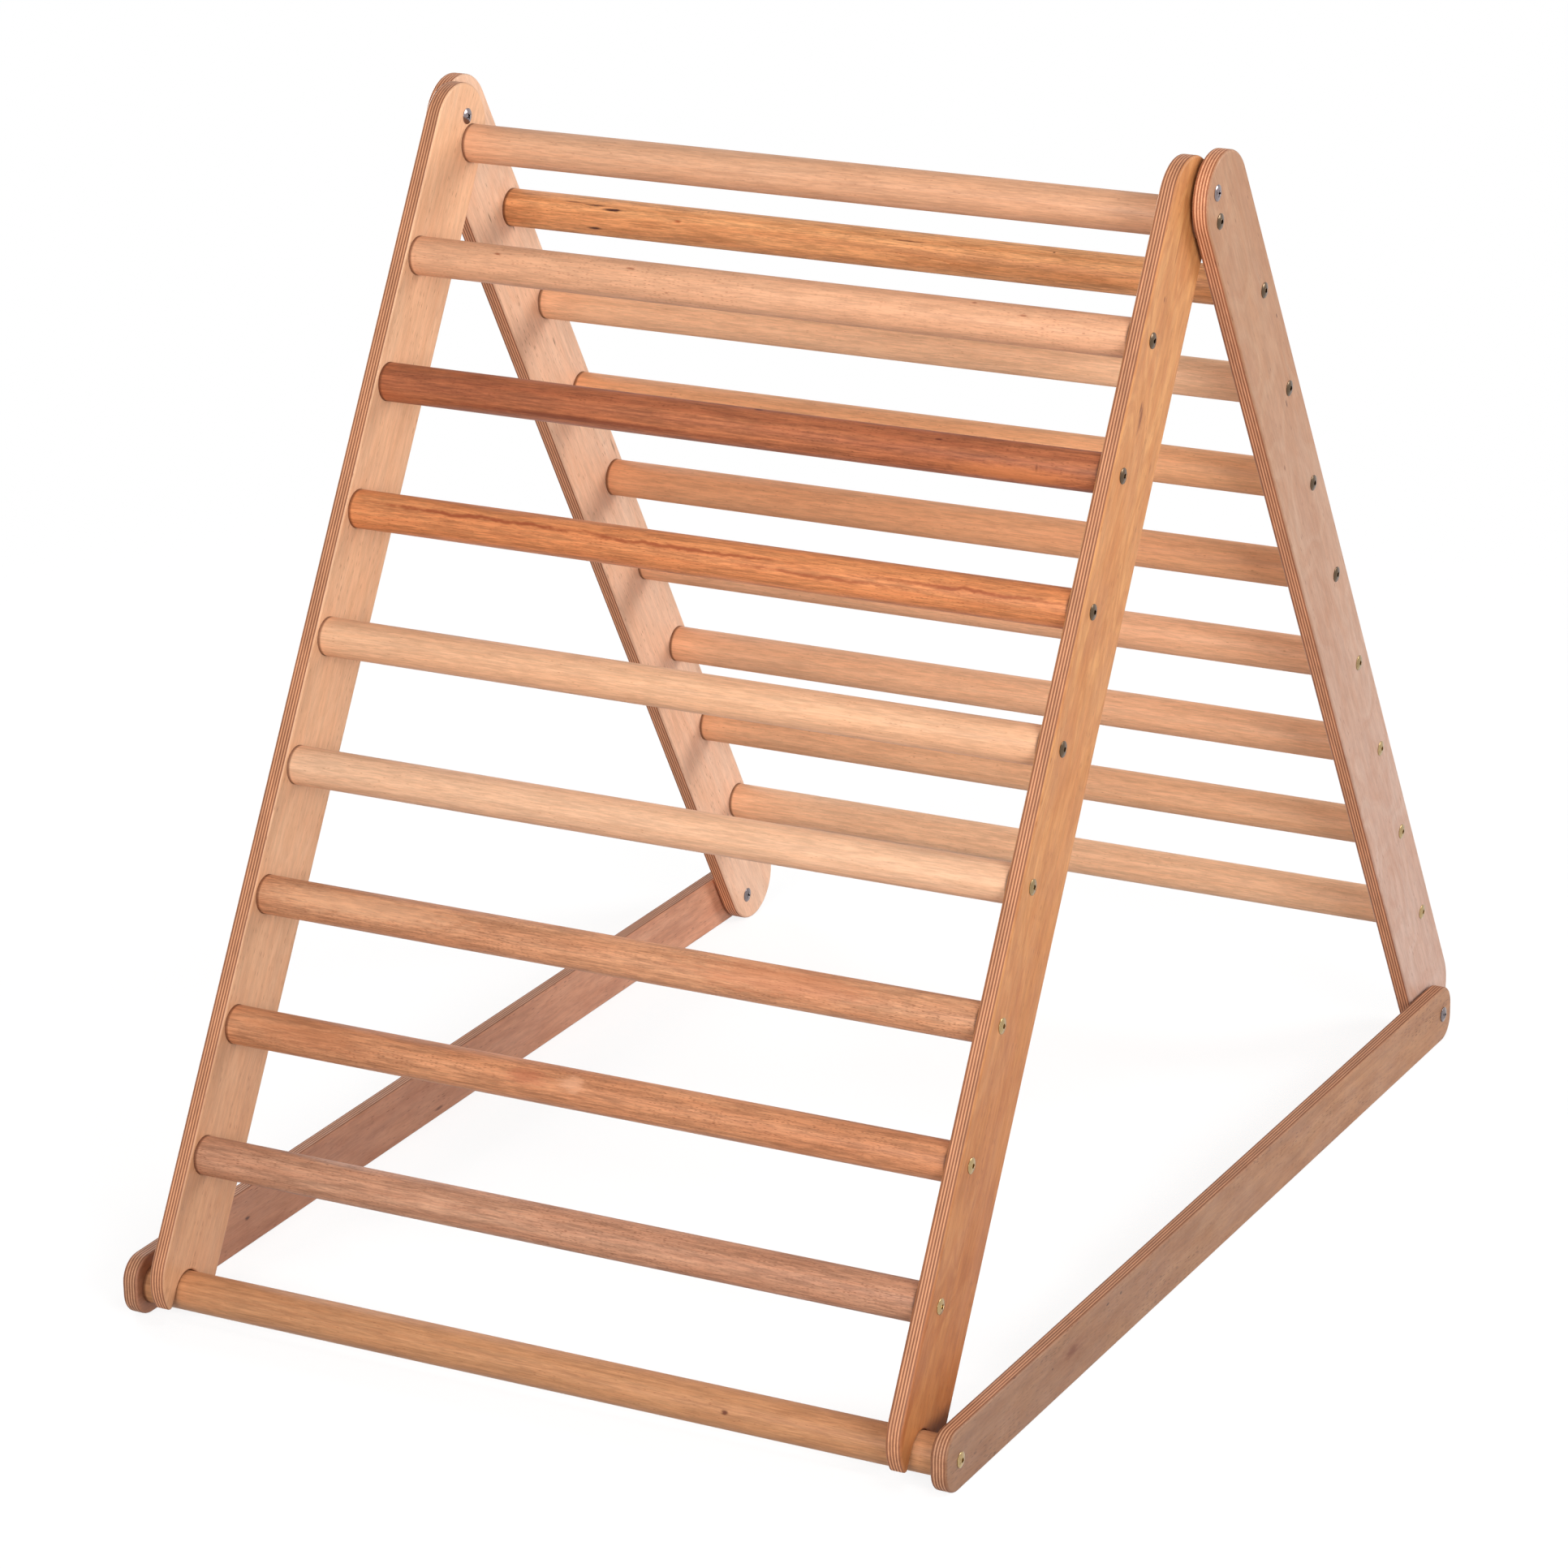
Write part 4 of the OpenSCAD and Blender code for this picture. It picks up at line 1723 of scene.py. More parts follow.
@dataclass
class Workshop:
    """What every sub-assembly works with: sizes, effects, trees and the finishes made so far."""

    sizes: TriangleSizes
    effects: Effects
    trees: ShapeTrees
    made: dict[str, bpy.types.Material] = field(default_factory=dict)

    def finish(self, finish: Finish) -> bpy.types.Material:
        """The material of a finish, built the first time that it is asked for."""
        if finish.name not in self.made:
            self.made[finish.name] = finish.make(self.effects)
        return self.made[finish.name]

    @property
    def screw_head(self) -> Head:
        """The head of the rungs' screws."""
        sizes = self.sizes
        reach = sizes.socket_w / 2
        return Head(sizes.screw_head_d, Driver.HEXAGON, reach, depth=0.0016, sides=72, finish=ZINC)

    @property
    def bolt_head(self) -> Head:
        """The head of the connector bolts' screws and sleeves."""
        diameter = self.sizes.bolt_head_d
        return Head(diameter, Driver.CROSS, reach=0.0035, depth=0.0013, sides=96, finish=CHROME)

    @property
    def screw_shank(self) -> Shank:
        """The shank of the rungs' screws, through the board and into the rung."""
        sizes = self.sizes
        return Shank(sizes.screw_d, sizes.ply - sizes.seat_depth + sizes.screw_reach)

    def rung_seat(self, place: Point2) -> Hole:
        """The seat of a rung's end in a board, with its screw's hole."""
        sizes = self.sizes
        seat_r = sizes.rung_d / 2 + sizes.seat_clearance
        screw_r = sizes.screw_d / 2 + sizes.seat_clearance
        return Hole.seat(place, seat_r, sizes.seat_depth, screw_r, sizes.ply)

    def bolt_hole(self, place: Point2, clearance: float) -> Hole:
        """The hole of a connector bolt's sleeve in a board."""
        return Hole.through(place, self.sizes.sleeve_d / 2 + clearance, self.sizes.ply, ease=0.0002)

    def hand_over(self, piece: bpy.types.Object, body: Body, node: str) -> None:
        """Sets a finished piece on its body in place of its node.

        Args:
            piece: The piece.
            body: Body that it moves with.
            node: Node that it stands for.
        """
        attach(piece, body.value)
        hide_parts(node)
        corners = [vertex.co for vertex in piece.data.vertices]
        ends = zip((min, max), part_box(node))
        gap = max(abs(end(c[i] for c in corners) - box[i]) for end, box in ends for i in range(3))
        report = "%s: %d faces on %s, %.2f mm off its node's box"
        log.info(report, piece.name, len(piece.data.polygons), body.value, gap / MM)

    def boards(
        self,
        name: str,
        body: Body,
        face: float,
        plane: BoardPlane,
        outline: Callable[[float], list[Point2]],
        holes: list[Hole],
        finishes: dict[Side, PlywoodFinish],
    ) -> None:
        """Builds a board on each side.

        Args:
            name: Name of their nodes, without the side.
            body: Body that they move with.
            face: Distance of their inner faces from the middle.
            plane: Plane that they are drawn in.
            outline: Gives their outline, drawn in by a distance.
            holes: Their holes.
            finishes: Their finishes.
        """
        for side, finish in finishes.items():
            node = f"{name}_{side.word}"
            board = Board(f"{node}-board", side, face, self.sizes.ply, plane, outline, holes)
            self.hand_over(board.build(self.finish(finish)), body, node)

    def rungs(
        self, name: str, body: Body, half: float, plane: BoardPlane, finishes: list[BeechFinish]
    ) -> None:
        """Builds a ladder's rungs.

        Args:
            name: Name of their nodes, without the number.
            body: Body that they move with.
            half: Distance of their ends from the middle.
            plane: Plane of the ladder.
            finishes: Their finishes, from the top down.
        """
        first = plane.point(*self.sizes.rung_places[0])
        for number, finish in enumerate(finishes, 1):
            self.rung(f"{name}_{number}", body, half, finish, first, plane, number)

    def rung(
        self,
        node: str,
        body: Body,
        half: float,
        finish: BeechFinish,
        first: Vector,
        plane: BoardPlane,
        number: int = 1,
    ) -> None:
        """Builds one rung.

        Args:
            node: Its node.
            body: Body that it moves with.
            half: Distance of its ends from the middle.
            finish: Its finish.
            first: Place of the first rung in its row.
            plane: Plane that the row goes down.
            number: Its number in the row, from 1.
        """
        sizes = self.sizes
        inputs = {
            "Length": 2 * half,
            "Diameter": sizes.rung_d,
            "End ease": 0.0008,
            "Hole diameter": sizes.screw_d + 2 * sizes.seat_clearance,
            "Hole depth": sizes.screw_reach,
            "Sides": 96,
            "First place": tuple(first),
            "Down the ladder": tuple(plane.along),
            "Pitch": sizes.rung_pitch,
            "Rung number": number,
            "Grain turn": finish.seed * GRAIN_TURN,
            "Finish": self.finish(finish),
        }
        piece = grow(f"{node}-rod", self.trees.rung, [Vector()], inputs)
        self.hand_over(piece, body, node)

    def fasteners(
        self,
        node: str,
        body: Body,
        points: Sequence[Vector],
        shank: Shank,
        head: Head,
        outwards: bool = True,
    ) -> None:
        """Builds the screws, bolts or sleeves of one node.

        Args:
            node: Their node.
            body: Body that they move with.
            points: Places under their heads.
            shank: Their shank.
            head: Their head.
            outwards: Whether the heads look away from the middle of the object.
        """
        sizes = self.sizes
        inputs = {
            "Head diameter": head.diameter,
            "Head height": sizes.head_h,
            "Shank diameter": shank.diameter,
            "Shank length": shank.length,
            "Bore diameter": shank.bore,
            "Bore end": sizes.sleeve_end,
            "Recess corners": int(head.driver),
            "Recess reach": head.reach,
            "Recess depth": head.depth,
            "Arm ratio": 0.25,
            "Sides": head.sides,
            "Outwards": 1.0 if outwards else -1.0,
            "Seed": sum(map(ord, node)),
            "Finish": self.finish(head.finish),
        }
        piece = grow(f"{node}-set", self.trees.fastener, points, inputs)
        self.hand_over(piece, body, node)

    def washers(self, node: str, points: Sequence[Vector], outwards: bool) -> None:
        """Builds the washers of one node, on the faces of the rear rails."""
        sizes = self.sizes
        inputs = {
            "Outer diameter": sizes.spacer_d,
            "Bore diameter": sizes.sleeve_d + 2 * sizes.seat_clearance,
            "Thickness": sizes.layer_gap - sizes.turning_play,
            "Outwards": 1.0 if outwards else -1.0,
            "Seed": sum(map(ord, node)),
            "Finish": self.finish(NYLON),
        }
        piece = grow(f"{node}-set", self.trees.washer, points, inputs)
        self.hand_over(piece, Body.REAR, node)


def both_sides(distance: float, axes: Sequence[Vector]) -> list[Vector]:
    """Points on every axis at a distance to the left and to the right."""
    return [Vector((side * distance, axis.y, axis.z)) for side in Side for axis in axes]


# The high and low colours of both metals are their plating with a painted reflection; the zinc goes
# from dark brown up high to pale brass near the floor.
ZINC = MetalFinish("zinc_screws", "zinc", high=srgb(100, 82, 64), low=srgb(178, 152, 108))
CHROME = MetalFinish(
    "chrome_bolts", "chrome", srgb(142, 130, 132), srgb(128, 118, 120), rough=(0.08, 0.16)
)
NYLON = NylonFinish("nylon_washers", "nylon", srgb(62, 58, 55))


@dataclass
class FrontLadder:
    """The front ladder: notched rails, eight rungs, their screws and the lock bolts' sleeves."""

    shop: Workshop
    rail_finishes: dict[Side, PlywoodFinish]
    rung_finishes: list[BeechFinish]

    def rails(self) -> None:
        """Builds both notched rails."""
        shop, sizes = self.shop, self.shop.sizes
        plane = sizes.front_plane
        notch = Notch(
            sizes.base_step, sizes.notch_line, sizes.notch_r, sizes.toe_r, sizes.heel_r
        )
        foot = sizes.foot_step(sizes.front_lean)
        outline = RailOutline(sizes.rail_centre, sizes.rail_r, sizes.top_rise, foot, notch)
        pivot_r = sizes.rung_d / 2 + sizes.pivot_clearance
        holes = [
            Hole.through((0.0, 0.0), pivot_r, sizes.ply, ease=0.0003),
            shop.bolt_hole(plane.local(sizes.lock_axis), sizes.seat_clearance),
            *map(shop.rung_seat, sizes.rung_places),
        ]
        shop.boards(
            "front_rail", Body.FRONT, sizes.front_face, plane, outline, holes, self.rail_finishes
        )

    def rungs(self) -> None:
        """Builds the eight rungs."""
        sizes = self.shop.sizes
        half = sizes.front_face + sizes.seat_depth
        self.shop.rungs("front_rung", Body.FRONT, half, sizes.front_plane, self.rung_finishes)

    def fasteners(self) -> None:
        """Builds the rungs' screws and the lock bolts' sleeves."""
        shop, sizes = self.shop, self.shop.sizes
        axes = [sizes.front_plane.point(*place) for place in sizes.rung_places]
        points = both_sides(sizes.front_face + sizes.ply, axes)
        shop.fasteners("front_rung_screws", Body.FRONT, points, shop.screw_shank, shop.screw_head)
        points = both_sides(sizes.front_face, [sizes.lock_axis])
        shank = Shank(sizes.sleeve_d, sizes.ply, sizes.sleeve_bore)
        head = shop.bolt_head
        shop.fasteners("lock_bolt_sleeves", Body.FRONT, points, shank, head, outwards=False)


@dataclass
class RearLadder:
    """The rear ladder: rails, the top rung, eight rungs, their screws and the connector bolts."""

    shop: Workshop
    rail_finishes: dict[Side, PlywoodFinish]
    top_finish: BeechFinish
    rung_finishes: list[BeechFinish]

    def rails(self) -> None:
        """Builds both rails."""
        shop, sizes = self.shop, self.shop.sizes
        plane = sizes.rear_plane
        foot = sizes.foot_step(sizes.rear_lean)
        outline = RailOutline(sizes.rail_centre, sizes.rail_r, sizes.top_rise, foot)
        holes = [shop.rung_seat(place) for place in [(0.0, 0.0), *sizes.rung_places]]
        for axis in (sizes.lock_axis, sizes.corner_axis):
            holes.append(shop.bolt_hole(plane.local(axis), sizes.seat_clearance))
        shop.boards(
            "rear_rail", Body.REAR, sizes.rear_face, plane, outline, holes, self.rail_finishes
        )

    def rungs(self) -> None:
        """Builds the top rung and the eight rungs below it."""
        sizes = self.shop.sizes
        plane, half = sizes.rear_plane, sizes.rear_face + sizes.seat_depth
        self.shop.rung("top_rung", Body.REAR, half, self.top_finish, sizes.top, plane)
        self.shop.rungs("rear_rung", Body.REAR, half, plane, self.rung_finishes)

    def screws(self) -> None:
        """Builds the screws of the top rung and the rungs below it."""
        shop, sizes = self.shop, self.shop.sizes
        outer = sizes.rear_face + sizes.ply
        axes = [sizes.rear_plane.point(*place) for place in sizes.rung_places]
        for node, places in (("rear_rung_screws", axes), ("top_rung_screws", [sizes.top])):
            points = both_sides(outer, places)
            shop.fasteners(node, Body.REAR, points, shop.screw_shank, shop.screw_head)

    def bolts(self) -> None:
        """Builds the lock bolts' screws and the whole corner bolts, with the washers on both."""
        shop, sizes = self.shop, self.shop.sizes
        outer, head = sizes.rear_face + sizes.ply, shop.bolt_head
        lock, corner = [sizes.lock_axis], [sizes.corner_axis]
        washer = sizes.layer_gap - sizes.turning_play
        shank = Shank(sizes.sleeve_d, sizes.ply + washer)
        shop.fasteners("lock_bolt_screws", Body.REAR, both_sides(outer, lock), shank, head)
        points = both_sides(sizes.arm_face + sizes.ply + sizes.turning_play, corner)
        shank = Shank(sizes.sleeve_screw_d, sizes.ply + sizes.layer_gap)
        shop.fasteners("corner_bolt_screws", Body.REAR, points, shank, head)
        points = both_sides(sizes.rear_face, corner)
        length = 2 * sizes.ply + sizes.layer_gap - sizes.sleeve_setback
        shank = Shank(sizes.sleeve_d, length, sizes.sleeve_bore)
        shop.fasteners("corner_bolt_sleeves", Body.REAR, points, shank, head, outwards=False)
        shop.washers("lock_spacers", both_sides(sizes.rear_face, lock), outwards=False)
        shop.washers("corner_spacers", both_sides(outer, corner), outwards=True)


@dataclass
class FloorFrame:
    """The floor frame: two arms, the cross rung and its screws."""

    shop: Workshop
    arm_finishes: dict[Side, PlywoodFinish]
    rung_finish: BeechFinish

    def arms(self) -> None:
        """Builds both arms."""
        shop, sizes = self.shop, self.shop.sizes
        base, corner = sizes.base_axis, sizes.corner_axis
        front, rear = base.y - sizes.front_overrun, corner.y + sizes.rear_overrun
        outline = ArmOutline(front, rear, sizes.arm_height, sizes.arm_corner_r)
        plane = sizes.floor_plane
        holes = [
            shop.rung_seat(plane.local(base)),
            shop.bolt_hole(plane.local(corner), sizes.pivot_clearance),
        ]
        shop.boards(
            "base_arm", Body.FLOOR, sizes.arm_face, plane, outline, holes, self.arm_finishes
        )

    def cross_rung(self) -> None:
        """Builds the cross rung and its screws."""
        shop, sizes = self.shop, self.shop.sizes
        half = sizes.arm_face + sizes.seat_depth
        first, plane = sizes.base_axis, sizes.front_plane
        shop.rung("base_rung", Body.FLOOR, half, self.rung_finish, first, plane)
        points = both_sides(sizes.arm_face + sizes.ply, [sizes.base_axis])
        shop.fasteners("base_rung_screws", Body.FLOOR, points, shop.screw_shank, shop.screw_head)


# --------------------------------------
# Studio


@dataclass(frozen=True)
class Lamp:
    """A square area light: where it hangs, its width and watts, and what it looks at."""

    name: str
    place: tuple[float, float, float]
    size: float
    power: float
    aim: tuple[float, float, float] = (0.0, -0.1, 0.5)

    def hang(self) -> None:
        """Puts the lamp in the scene."""
        light = bpy.data.lights.new(self.name, "AREA")
        light.shape = "SQUARE"
        light.size = self.size
        light.energy = self.power
        lamp = bpy.data.objects.new(self.name, light)
        lamp.location = self.place
        look = Vector(self.aim) - Vector(self.place)
        lamp.rotation_euler = look.to_track_quat("-Z", "Y").to_euler()
        bpy.context.scene.collection.objects.link(lamp)


@dataclass(frozen=True)
class Studio:
    """Pale floor, plain light and the camera at the photograph's viewing angle."""

    camera_place: tuple[float, float, float] = (2.1936, -4.1617, 2.0488)
    camera_right: tuple[float, float, float] = (0.88373, 0.46768, -0.01729)
    camera_up: tuple[float, float, float] = (-0.14230, 0.30371, 0.94208)
    lens: float = 125.778
    sensor: float = 36.0
    clip_end: float = 100.0
    floor_width: float = 60.0
    floor_clear: float = 0.82
    floor_shade: float = 0.25
    floor_spot: Point2 = (0.9, 2.4)
    floor_bounce: float = 0.40
    world_light: float = 0.20
    lamps: tuple[Lamp, ...] = (
        Lamp("front", (0.0, -5.74, 2.55), 2.5, 189.0),
        Lamp("right", (4.75, -3.42, 2.05), 2.5, 179.0),
        Lamp("back", (4.62, 3.13, 2.55), 2.5, 185.0),
        Lamp("left", (-4.6, 2.6, 1.7), 2.5, 130.0),
        Lamp("top", (1.17, -1.15, 2.62), 0.8, 10.5),
    )

    @staticmethod
    def seen_share(sketch: Sketch) -> Output:
        """1 for rays of the camera, in mirrors and through glass, and 0 for the rest."""
        rays = sketch.named(sketch.add("ShaderNodeLightPath"))
        mirrored = sketch.math("MAXIMUM", rays["Is Glossy Ray"], rays["Is Transmission Ray"])
        return sketch.math("MAXIMUM", rays["Is Camera Ray"], mirrored)

    def floor_white(self) -> bpy.types.Material:
        """The floor's material: white to look at, with the object's soft shadow.

        It shows what hangs below it, because the frame swings down there when the triangle is
        folded where it stands.
        """
        material, sketch, surface = new_material("floor_white")
        surface.inputs["Base Color"].default_value = (*[self.floor_bounce] * 3, 1.0)
        surface.inputs["Roughness"].default_value = 1.0
        surface.inputs["Specular IOR Level"].default_value = 0.0
        reach = sketch.length(sketch.take("ShaderNodeTexCoord", output="Object"))
        shade = sketch.ramp(reach, *self.floor_spot, self.floor_shade, 0.0)
        bare = sketch.ramp(reach, *self.floor_spot, self.floor_clear, 1.0)
        feeds = {"Color": sketch.vector(shade, shade, shade)}
        paper = sketch.take("ShaderNodeBsdfDiffuse", feeds)
        feeds = {"Color": sketch.vector(bare, bare, bare)}
        clear = sketch.take("ShaderNodeBsdfTransparent", feeds)
        lit = sketch.take("ShaderNodeAddShader", {0: paper, 1: clear})
        shadow_ray = sketch.take("ShaderNodeLightPath", output="Is Shadow Ray")
        below = sketch.take("ShaderNodeNewGeometry", output="Backfacing")
        share = sketch.math("MAXIMUM", self.seen_share(sketch), shadow_ray * below)
        plain = Output(sketch, surface.outputs[0])
        output = next(n for n in sketch.tree.nodes if n.type == "OUTPUT_MATERIAL")
        mixed = sketch.take("ShaderNodeMixShader", {0: share, 1: plain, 2: lit})
        sketch.feed(output.inputs["Surface"], mixed)
        return material

    def floor(self) -> None:
        """Lays the floor."""
        half = self.floor_width / 2
        mesh = bpy.data.meshes.new("floor")
        corners = [(-half, -half, 0), (half, -half, 0), (half, half, 0), (-half, half, 0)]
        mesh.from_pydata(corners, [], [(0, 1, 2, 3)])
        mesh.materials.append(self.floor_white())
        floor = bpy.data.objects.new("floor", mesh)
        bpy.context.scene.collection.objects.link(floor)

    def sky(self) -> None:
        """Sets the world: plain light, and white to look at."""
        world = bpy.data.worlds.new("studio")
        world.use_nodes = True
        bpy.context.scene.world = world
        sketch = Sketch(world.node_tree)
        back = next(n for n in sketch.tree.nodes if n.type == "BACKGROUND")
        strength = sketch.between(self.seen_share(sketch), self.world_light, 1.0)
        back.inputs["Color"].default_value = (1, 1, 1, 1)
        sketch.feed(back.inputs["Strength"], strength)

    def camera(self) -> None:
        """Sets up the camera."""
        data = bpy.data.cameras.new("camera")
        data.lens = self.lens
        data.sensor_width = self.sensor
        data.sensor_fit = "HORIZONTAL"
        data.clip_end = self.clip_end
        right, up = Vector(self.camera_right), Vector(self.camera_up)
        turn = Matrix((right, up, right.cross(up))).transposed()
        camera = bpy.data.objects.new("camera", data)
        camera.matrix_world = Matrix.Translation(self.camera_place) @ turn.to_4x4()
        bpy.context.scene.collection.objects.link(camera)
        bpy.context.scene.camera = camera

    def set_up(self) -> None:
        """Sets up everything round the object."""
        self.camera()
        self.floor()
        self.sky()
        for lamp in self.lamps:
            lamp.hang()
        bpy.context.scene.view_settings.view_transform = "Standard"


# --------------------------------------
# This object's own finishes

DARK_SPOT = srgb(96, 50, 30)
BLACK_STREAK = srgb(62, 30, 20)
RED_LINE = srgb(150, 74, 42)

LIGHT_BEECH = {
    "light": srgb(242, 196, 154),
    "dark": srgb(222, 162, 116),
    "blush": srgb(236, 178, 132),
    "band": 0.25,
    "line": 0.22,
    "mottle": 0.15,
    "fibre": 0.22,
    "fleck": srgb(168, 106, 70),
    "fleck_share": 0.06,
}
BROWN_BEECH = {
    "slot": "beech_brown",
    "light": srgb(222, 160, 118),
    "dark": srgb(172, 104, 68),
    "blush": srgb(200, 130, 90),
    "band": 0.40,
    "cloud": 0.60,
    "fleck_share": 0.50,
}

FRONT_RUNGS = [
    BeechFinish(
        "beech_front_1",
        slot="beech_pink",
        light=srgb(238, 178, 140),
        dark=srgb(210, 144, 108),
        blush=srgb(226, 160, 122),
        fleck=srgb(164, 94, 62),
        band=0.25,
        line=0.15,
        mottle=0.20,
        fibre=0.22,
        fleck_share=0.32,
        seed=1.3,
        tone=(0.99, 1.02, 1.01),
        marks=(
            Mark((-0.2631, 0.0114, -0.0133), 0.009, 0.003, 0.8, RED_LINE),
            Mark((-0.1280, 0.0108, -0.0137), 0.012, 0.003, 0.7, RED_LINE),
            Mark((0.2043, 0.0049, -0.0168), 0.006, 0.003, 0.7, RED_LINE),
            Mark((0.2535, 0.0122, -0.0126), 0.009, 0.003, 0.6, RED_LINE),
            Mark((-0.0893, 0.0173, 0.0025), 0.005, 0.002, 0.6, RED_LINE),
        ),
    ),
    BeechFinish(
        "beech_front_2",
        slot="beech_red",
        light=srgb(196, 120, 84),
        dark=srgb(124, 62, 42),
        blush=srgb(156, 84, 56),
        fleck=srgb(90, 42, 28),
        band=0.55,
        line=0.55,
        cloud=0.75,
        seed=2.7,
        tone=(1.11, 1.12, 0.97),
        marks=(
            Mark((0.0232, -0.0040, 0.0170), 0.010, 0.005, 0.9, srgb(84, 34, 24)),
            Mark((0.2008, -0.0122, 0.0126), 0.008, 0.003, 0.8, srgb(84, 34, 24)),
            Mark((0.2957, -0.0175, -0.0008), 0.003, 0.009, 0.8, srgb(92, 38, 26)),
            Mark((-0.1463, -0.0143, -0.0100), 0.340, 0.008, 0.6, srgb(112, 52, 36)),
            Mark((0.2700, -0.0150, -0.0090), 0.160, 0.024, 0.5, srgb(214, 130, 84)),
        ),
    ),
    BeechFinish(
        "beech_front_3",
        slot="beech_orange",
        light=srgb(232, 156, 104),
        dark=srgb(190, 108, 66),
        blush=srgb(214, 130, 80),
        fleck=srgb(150, 76, 42),
        band=0.40,
        line=0.40,
        seed=3.9,
        tone=(0.99, 0.95, 0.88),
        marks=(
            Mark((-0.22, 0.0122, -0.0126), 0.300, 0.0055, 0.90, RED_LINE, 0.010),
            Mark((-0.02, 0.0135, -0.0111), 0.260, 0.0050, 0.85, RED_LINE, 0.010),
            Mark((0.12, 0.0170, -0.0040), 0.200, 0.0045, 0.75, RED_LINE, 0.010),
            Mark((0.26, 0.0145, -0.0098), 0.200, 0.0050, 0.80, RED_LINE, 0.010),
        ),
    ),
    BeechFinish("beech_front_4", **LIGHT_BEECH, seed=4.1, tone=(0.97, 0.91, 0.94)),
    BeechFinish("beech_front_5", **LIGHT_BEECH, seed=5.6, tone=(0.97, 0.95, 1.03)),
    BeechFinish(
        "beech_front_6",
        **BROWN_BEECH,
        seed=6.2,
        tone=(1.07, 1.15, 1.22),
        marks=(
            Mark((0.1677, 0.0015, -0.0174), 0.220, 0.040, 0.45, srgb(190, 112, 74)),
            Mark((-0.24, 0.0015, -0.0174), 0.260, 0.030, 0.35, srgb(236, 178, 136)),
        ),
    ),
    BeechFinish(
        "beech_front_7",
        **BROWN_BEECH,
        seed=7.8,
        tone=(1.00, 0.99, 0.97),
        marks=(
            Mark((-0.0476, -0.0121, 0.0127), 0.050, 0.018, 0.55, srgb(176, 98, 68)),
            Mark((-0.0031, -0.0117, 0.0130), 0.030, 0.020, 0.60, srgb(232, 172, 136)),
            Mark((-0.27, -0.0121, 0.0127), 0.160, 0.030, 0.35, srgb(170, 102, 64)),
        ),
    ),
    BeechFinish("beech_front_8", **BROWN_BEECH, seed=8.4, tone=(0.90, 1.02, 1.23)),
]
TOP_RUNG = BeechFinish("beech_top", **LIGHT_BEECH, seed=9.3, tone=(0.86, 0.77, 0.79))
# The cross rung's tone darkens it, partly its own colour and partly painted shade for the light that
# falls off near the floor.
BASE_RUNG = BeechFinish(
    "beech_cross",
    light=srgb(216, 162, 116),
    dark=srgb(180, 120, 78),
    blush=srgb(202, 142, 98),
    fibre=0.26,
    fleck=srgb(140, 84, 50),
    fleck_share=0.08,
    seed=10.9,
    joint=TriangleSizes().arm_face,
    tone=(0.88, 0.82, 0.81),
    marks=(Mark((0.1932, -0.0128, -0.0119), 0.008, 0.006, 0.95, srgb(104, 54, 32)),),
)
REAR_TONES = {
    2: (1.14, 1.13, 1.19),
    3: (1.02, 0.86, 0.77),
    4: (0.98, 0.80, 0.72),
    5: (1.06, 0.94, 0.94),
    6: (1.05, 0.94, 0.94),
    7: (0.97, 0.87, 0.85),
    8: (1.09, 1.06, 1.11),
}
REAR_RUNGS = [
    BeechFinish(
        "beech_rear_1",
        slot="beech_orange",
        light=srgb(232, 166, 114),
        dark=srgb(172, 102, 58),
        blush=srgb(214, 144, 92),
        band=0.55,
        line=0.65,
        fleck_share=0.15,
        seed=12.37,
        joint=TriangleSizes().rear_face,
        tone=(1.22, 1.30, 1.32),
        marks=(
            Mark((-0.2553, 0.0132, 0.0115), 0.030, 0.0040, 1.0, BLACK_STREAK),
            Mark((-0.2760, 0.0150, 0.0090), 0.030, 0.0030, 0.9, BLACK_STREAK, 0.004),
            Mark((-0.2732, -0.0041, 0.0170), 0.018, 0.0040, 1.0, BLACK_STREAK),
            Mark((-0.1863, 0.0102, 0.0142), 0.010, 0.0040, 0.90, RED_LINE),
            Mark((0.0467, 0.0142, 0.0103), 0.040, 0.0020, 0.80, DARK_SPOT),
            Mark((0.1884, 0.0165, 0.0057), 0.003, 0.0020, 0.90, DARK_SPOT),
            Mark((-0.0321, -0.0154, 0.0083), 0.004, 0.0020, 0.80, DARK_SPOT),
            Mark((-0.2964, 0.0156, 0.0080), 0.030, 0.0016, 0.70, DARK_SPOT),
        ),
    )
]
REAR_RUNGS += [
    BeechFinish(
        f"beech_rear_{number}",
        **LIGHT_BEECH,
        seed=11.0 + 1.37 * number,
        tone=tone,
        joint=TriangleSizes().rear_face,
    )
    for number, tone in REAR_TONES.items()
]

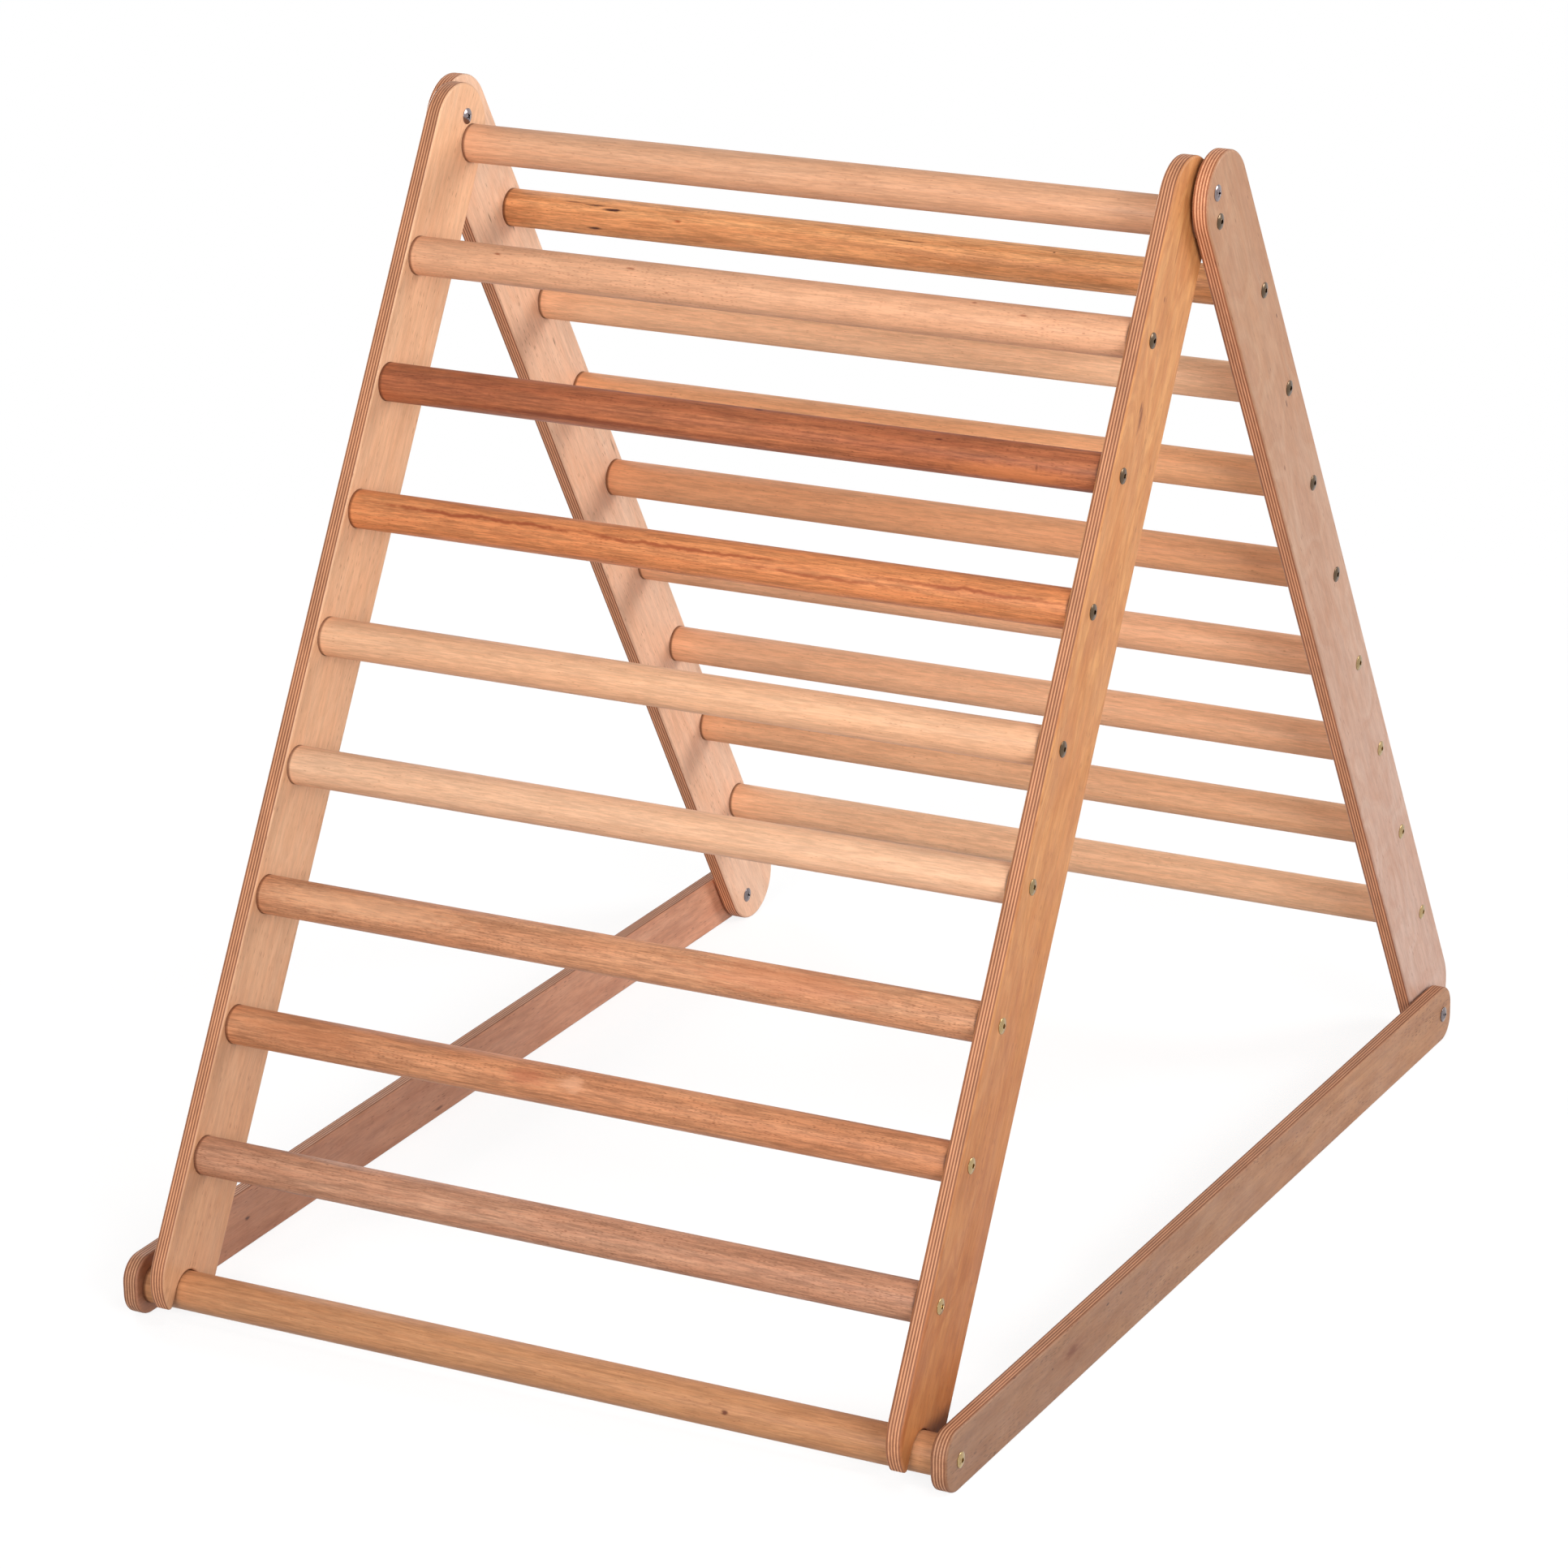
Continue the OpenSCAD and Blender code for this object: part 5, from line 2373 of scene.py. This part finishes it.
PALE_PLY = {
    "face": srgb(238, 192, 154),
    "figure": srgb(216, 152, 108),
    "blush": srgb(230, 172, 130),
}
FRONT_EDGE = {"long_ply": srgb(216, 152, 112), "cross_ply": srgb(142, 88, 60)}
ARM_PLY = {
    "face": srgb(210, 164, 132),
    "figure": srgb(164, 110, 80),
    "blush": srgb(188, 138, 108),
    "fleck": srgb(96, 54, 36),
    "long_ply": srgb(196, 142, 108),
    "cross_ply": srgb(128, 80, 54),
    "mottle": 0.40,
}
# Along the front rails painted_light_far_tone and span paint shade: the rails darken towards the
# feet, where the light falls off.
FRONT_RAILS = {
    Side.LEFT: PlywoodFinish(
        "ply_front_left",
        **PALE_PLY,
        **FRONT_EDGE,
        seed=21.4,
        tone=(0.95, 0.95, 0.95),
        painted_light_far_tone=(0.69, 0.62, 0.57),
        painted_light_span=(0.45, 1.05),
        marks=(Mark((0.9322, 0.0645, 0.0111), 0.022, 0.004, 1.0, srgb(74, 34, 22)),),
    ),
    Side.RIGHT: PlywoodFinish(
        "ply_front_right",
        face=srgb(226, 164, 112),
        figure=srgb(178, 104, 58),
        blush=srgb(206, 134, 82),
        **FRONT_EDGE,
        band=0.50,
        cloud=0.55,
        mottle=0.45,
        sweep=(4.0, 14.0),
        fleck_share=0.16,
        seed=22.9,
        tone=(0.89, 0.87, 0.73),
        painted_light_far_tone=(0.63, 0.51, 0.38),
        painted_light_span=(0.45, 1.05),
        marks=(
            Mark((0.1862, 0.0338, 0.0150), 0.032, 0.007, 0.85, srgb(124, 66, 32)),
            Mark((0.1780, 0.0372, 0.0150), 0.014, 0.005, 0.80, srgb(118, 60, 30)),
            Mark((0.0822, 0.0379, 0.0150), 0.007, 0.003, 0.80, srgb(120, 66, 34)),
            Mark((0.0322, 0.0329, 0.0150), 0.060, 0.003, 0.60, srgb(150, 86, 44), 0.006),
            Mark((0.2175, -0.0078, 0.0150), 0.014, 0.005, 0.50, srgb(150, 86, 44)),
        ),
    ),
}
# Along the rear rails painted_light_far_tone paints light: the rails turn lighter towards the feet,
# and the right one also paler there as a painted sheen.
REAR_RAILS = {
    Side.LEFT: PlywoodFinish(
        "ply_rear_left",
        **PALE_PLY,
        seed=23.2,
        tone=(1.01, 1.09, 1.24),
        painted_light_far_tone=(1.05, 1.12, 1.30),
        marks=(
            Mark((0.2805, 0.0309, 0.0), 0.012, 0.003, 0.7, DARK_SPOT),
            Mark((0.4450, 0.0577, 0.0), 0.022, 0.003, 0.6, DARK_SPOT),
            Mark((0.0995, 0.0076, 0.0), 0.016, 0.002, 0.7, DARK_SPOT),
            Mark((0.1384, 0.0346, 0.0), 0.012, 0.002, 0.6, DARK_SPOT),
        ),
    ),
    Side.RIGHT: PlywoodFinish(
        "ply_rear_right",
        face=srgb(222, 178, 148),
        figure=srgb(240, 210, 186),
        blush=srgb(204, 152, 118),
        band=0.60,
        sweep=(7.0, 15.0),
        fleck_share=0.06,
        seed=24.6,
        tone=(0.57, 0.45, 0.35),
        painted_light_far_tone=(0.72, 0.69, 0.75),
        marks=(
            Mark((0.1593, 0.0530, 0.0150), 0.006, 0.002, 0.9, DARK_SPOT),
            Mark((0.2457, 0.0321, 0.0150), 0.010, 0.002, 0.9, DARK_SPOT),
            Mark((0.2962, 0.0014, 0.0150), 0.008, 0.003, 0.7, srgb(150, 96, 66)),
            Mark((0.0260, -0.0215, 0.0085), 0.008, 0.003, 1.0, srgb(70, 34, 22)),
        ),
    ),
}
# The arms' tones darken them, partly their own colour and partly painted shade near the floor;
# painted_light_far_tone and span paint light that makes them lighter towards the rear.
ARMS = {
    Side.LEFT: PlywoodFinish(
        "ply_arm_left",
        **ARM_PLY,
        seed=25.1,
        tone=(0.69, 0.56, 0.52),
        painted_light_far_tone=(1.21, 1.05, 1.04),
        painted_light_span=(-0.5, 0.5),
        marks=(
            Mark((-0.3948, 0.0275, 0.0), 0.010, 0.005, 0.9, srgb(84, 44, 32)),
            Mark((-0.0630, 0.0088, 0.0), 0.018, 0.004, 0.7, srgb(84, 44, 32)),
        ),
    ),
    Side.RIGHT: PlywoodFinish(
        "ply_arm_right",
        **ARM_PLY,
        fleck_share=0.50,
        seed=26.7,
        tone=(0.50, 0.44, 0.37),
        painted_light_far_tone=(0.68, 0.58, 0.45),
        painted_light_span=(-0.5, 0.5),
        marks=(
            Mark((-0.3303, 0.0317, 0.0150), 0.030, 0.012, 0.75, srgb(132, 70, 40)),
            Mark((-0.3303, 0.0317, 0.0150), 0.070, 0.026, 0.35, srgb(160, 96, 62)),
            Mark((-0.2579, 0.0452, 0.0150), 0.008, 0.003, 0.85, srgb(88, 50, 34)),
            Mark((-0.2311, 0.0447, 0.0150), 0.006, 0.003, 0.80, srgb(88, 50, 34)),
            Mark((-0.3691, 0.0317, 0.0150), 0.005, 0.003, 0.80, srgb(88, 50, 34)),
            Mark((-0.4409, 0.0550, 0.0131), 0.010, 0.004, 0.85, srgb(96, 52, 32)),
        ),
    ),
}


def main() -> None:
    """Builds the whole scene, piece by piece."""
    logging.basicConfig(level=logging.INFO, format="%(message)s")
    Studio().set_up()
    shop = Workshop(TriangleSizes(), Effects.build(), ShapeTrees.build())

    front = FrontLadder(shop, FRONT_RAILS, FRONT_RUNGS)
    front.rails()
    front.rungs()
    front.fasteners()

    rear = RearLadder(shop, REAR_RAILS, TOP_RUNG, REAR_RUNGS)
    rear.rails()
    rear.rungs()
    rear.screws()
    rear.bolts()

    base = FloorFrame(shop, ARMS, BASE_RUNG)
    base.arms()
    base.cross_rung()


if __name__ == "__main__":
    main()
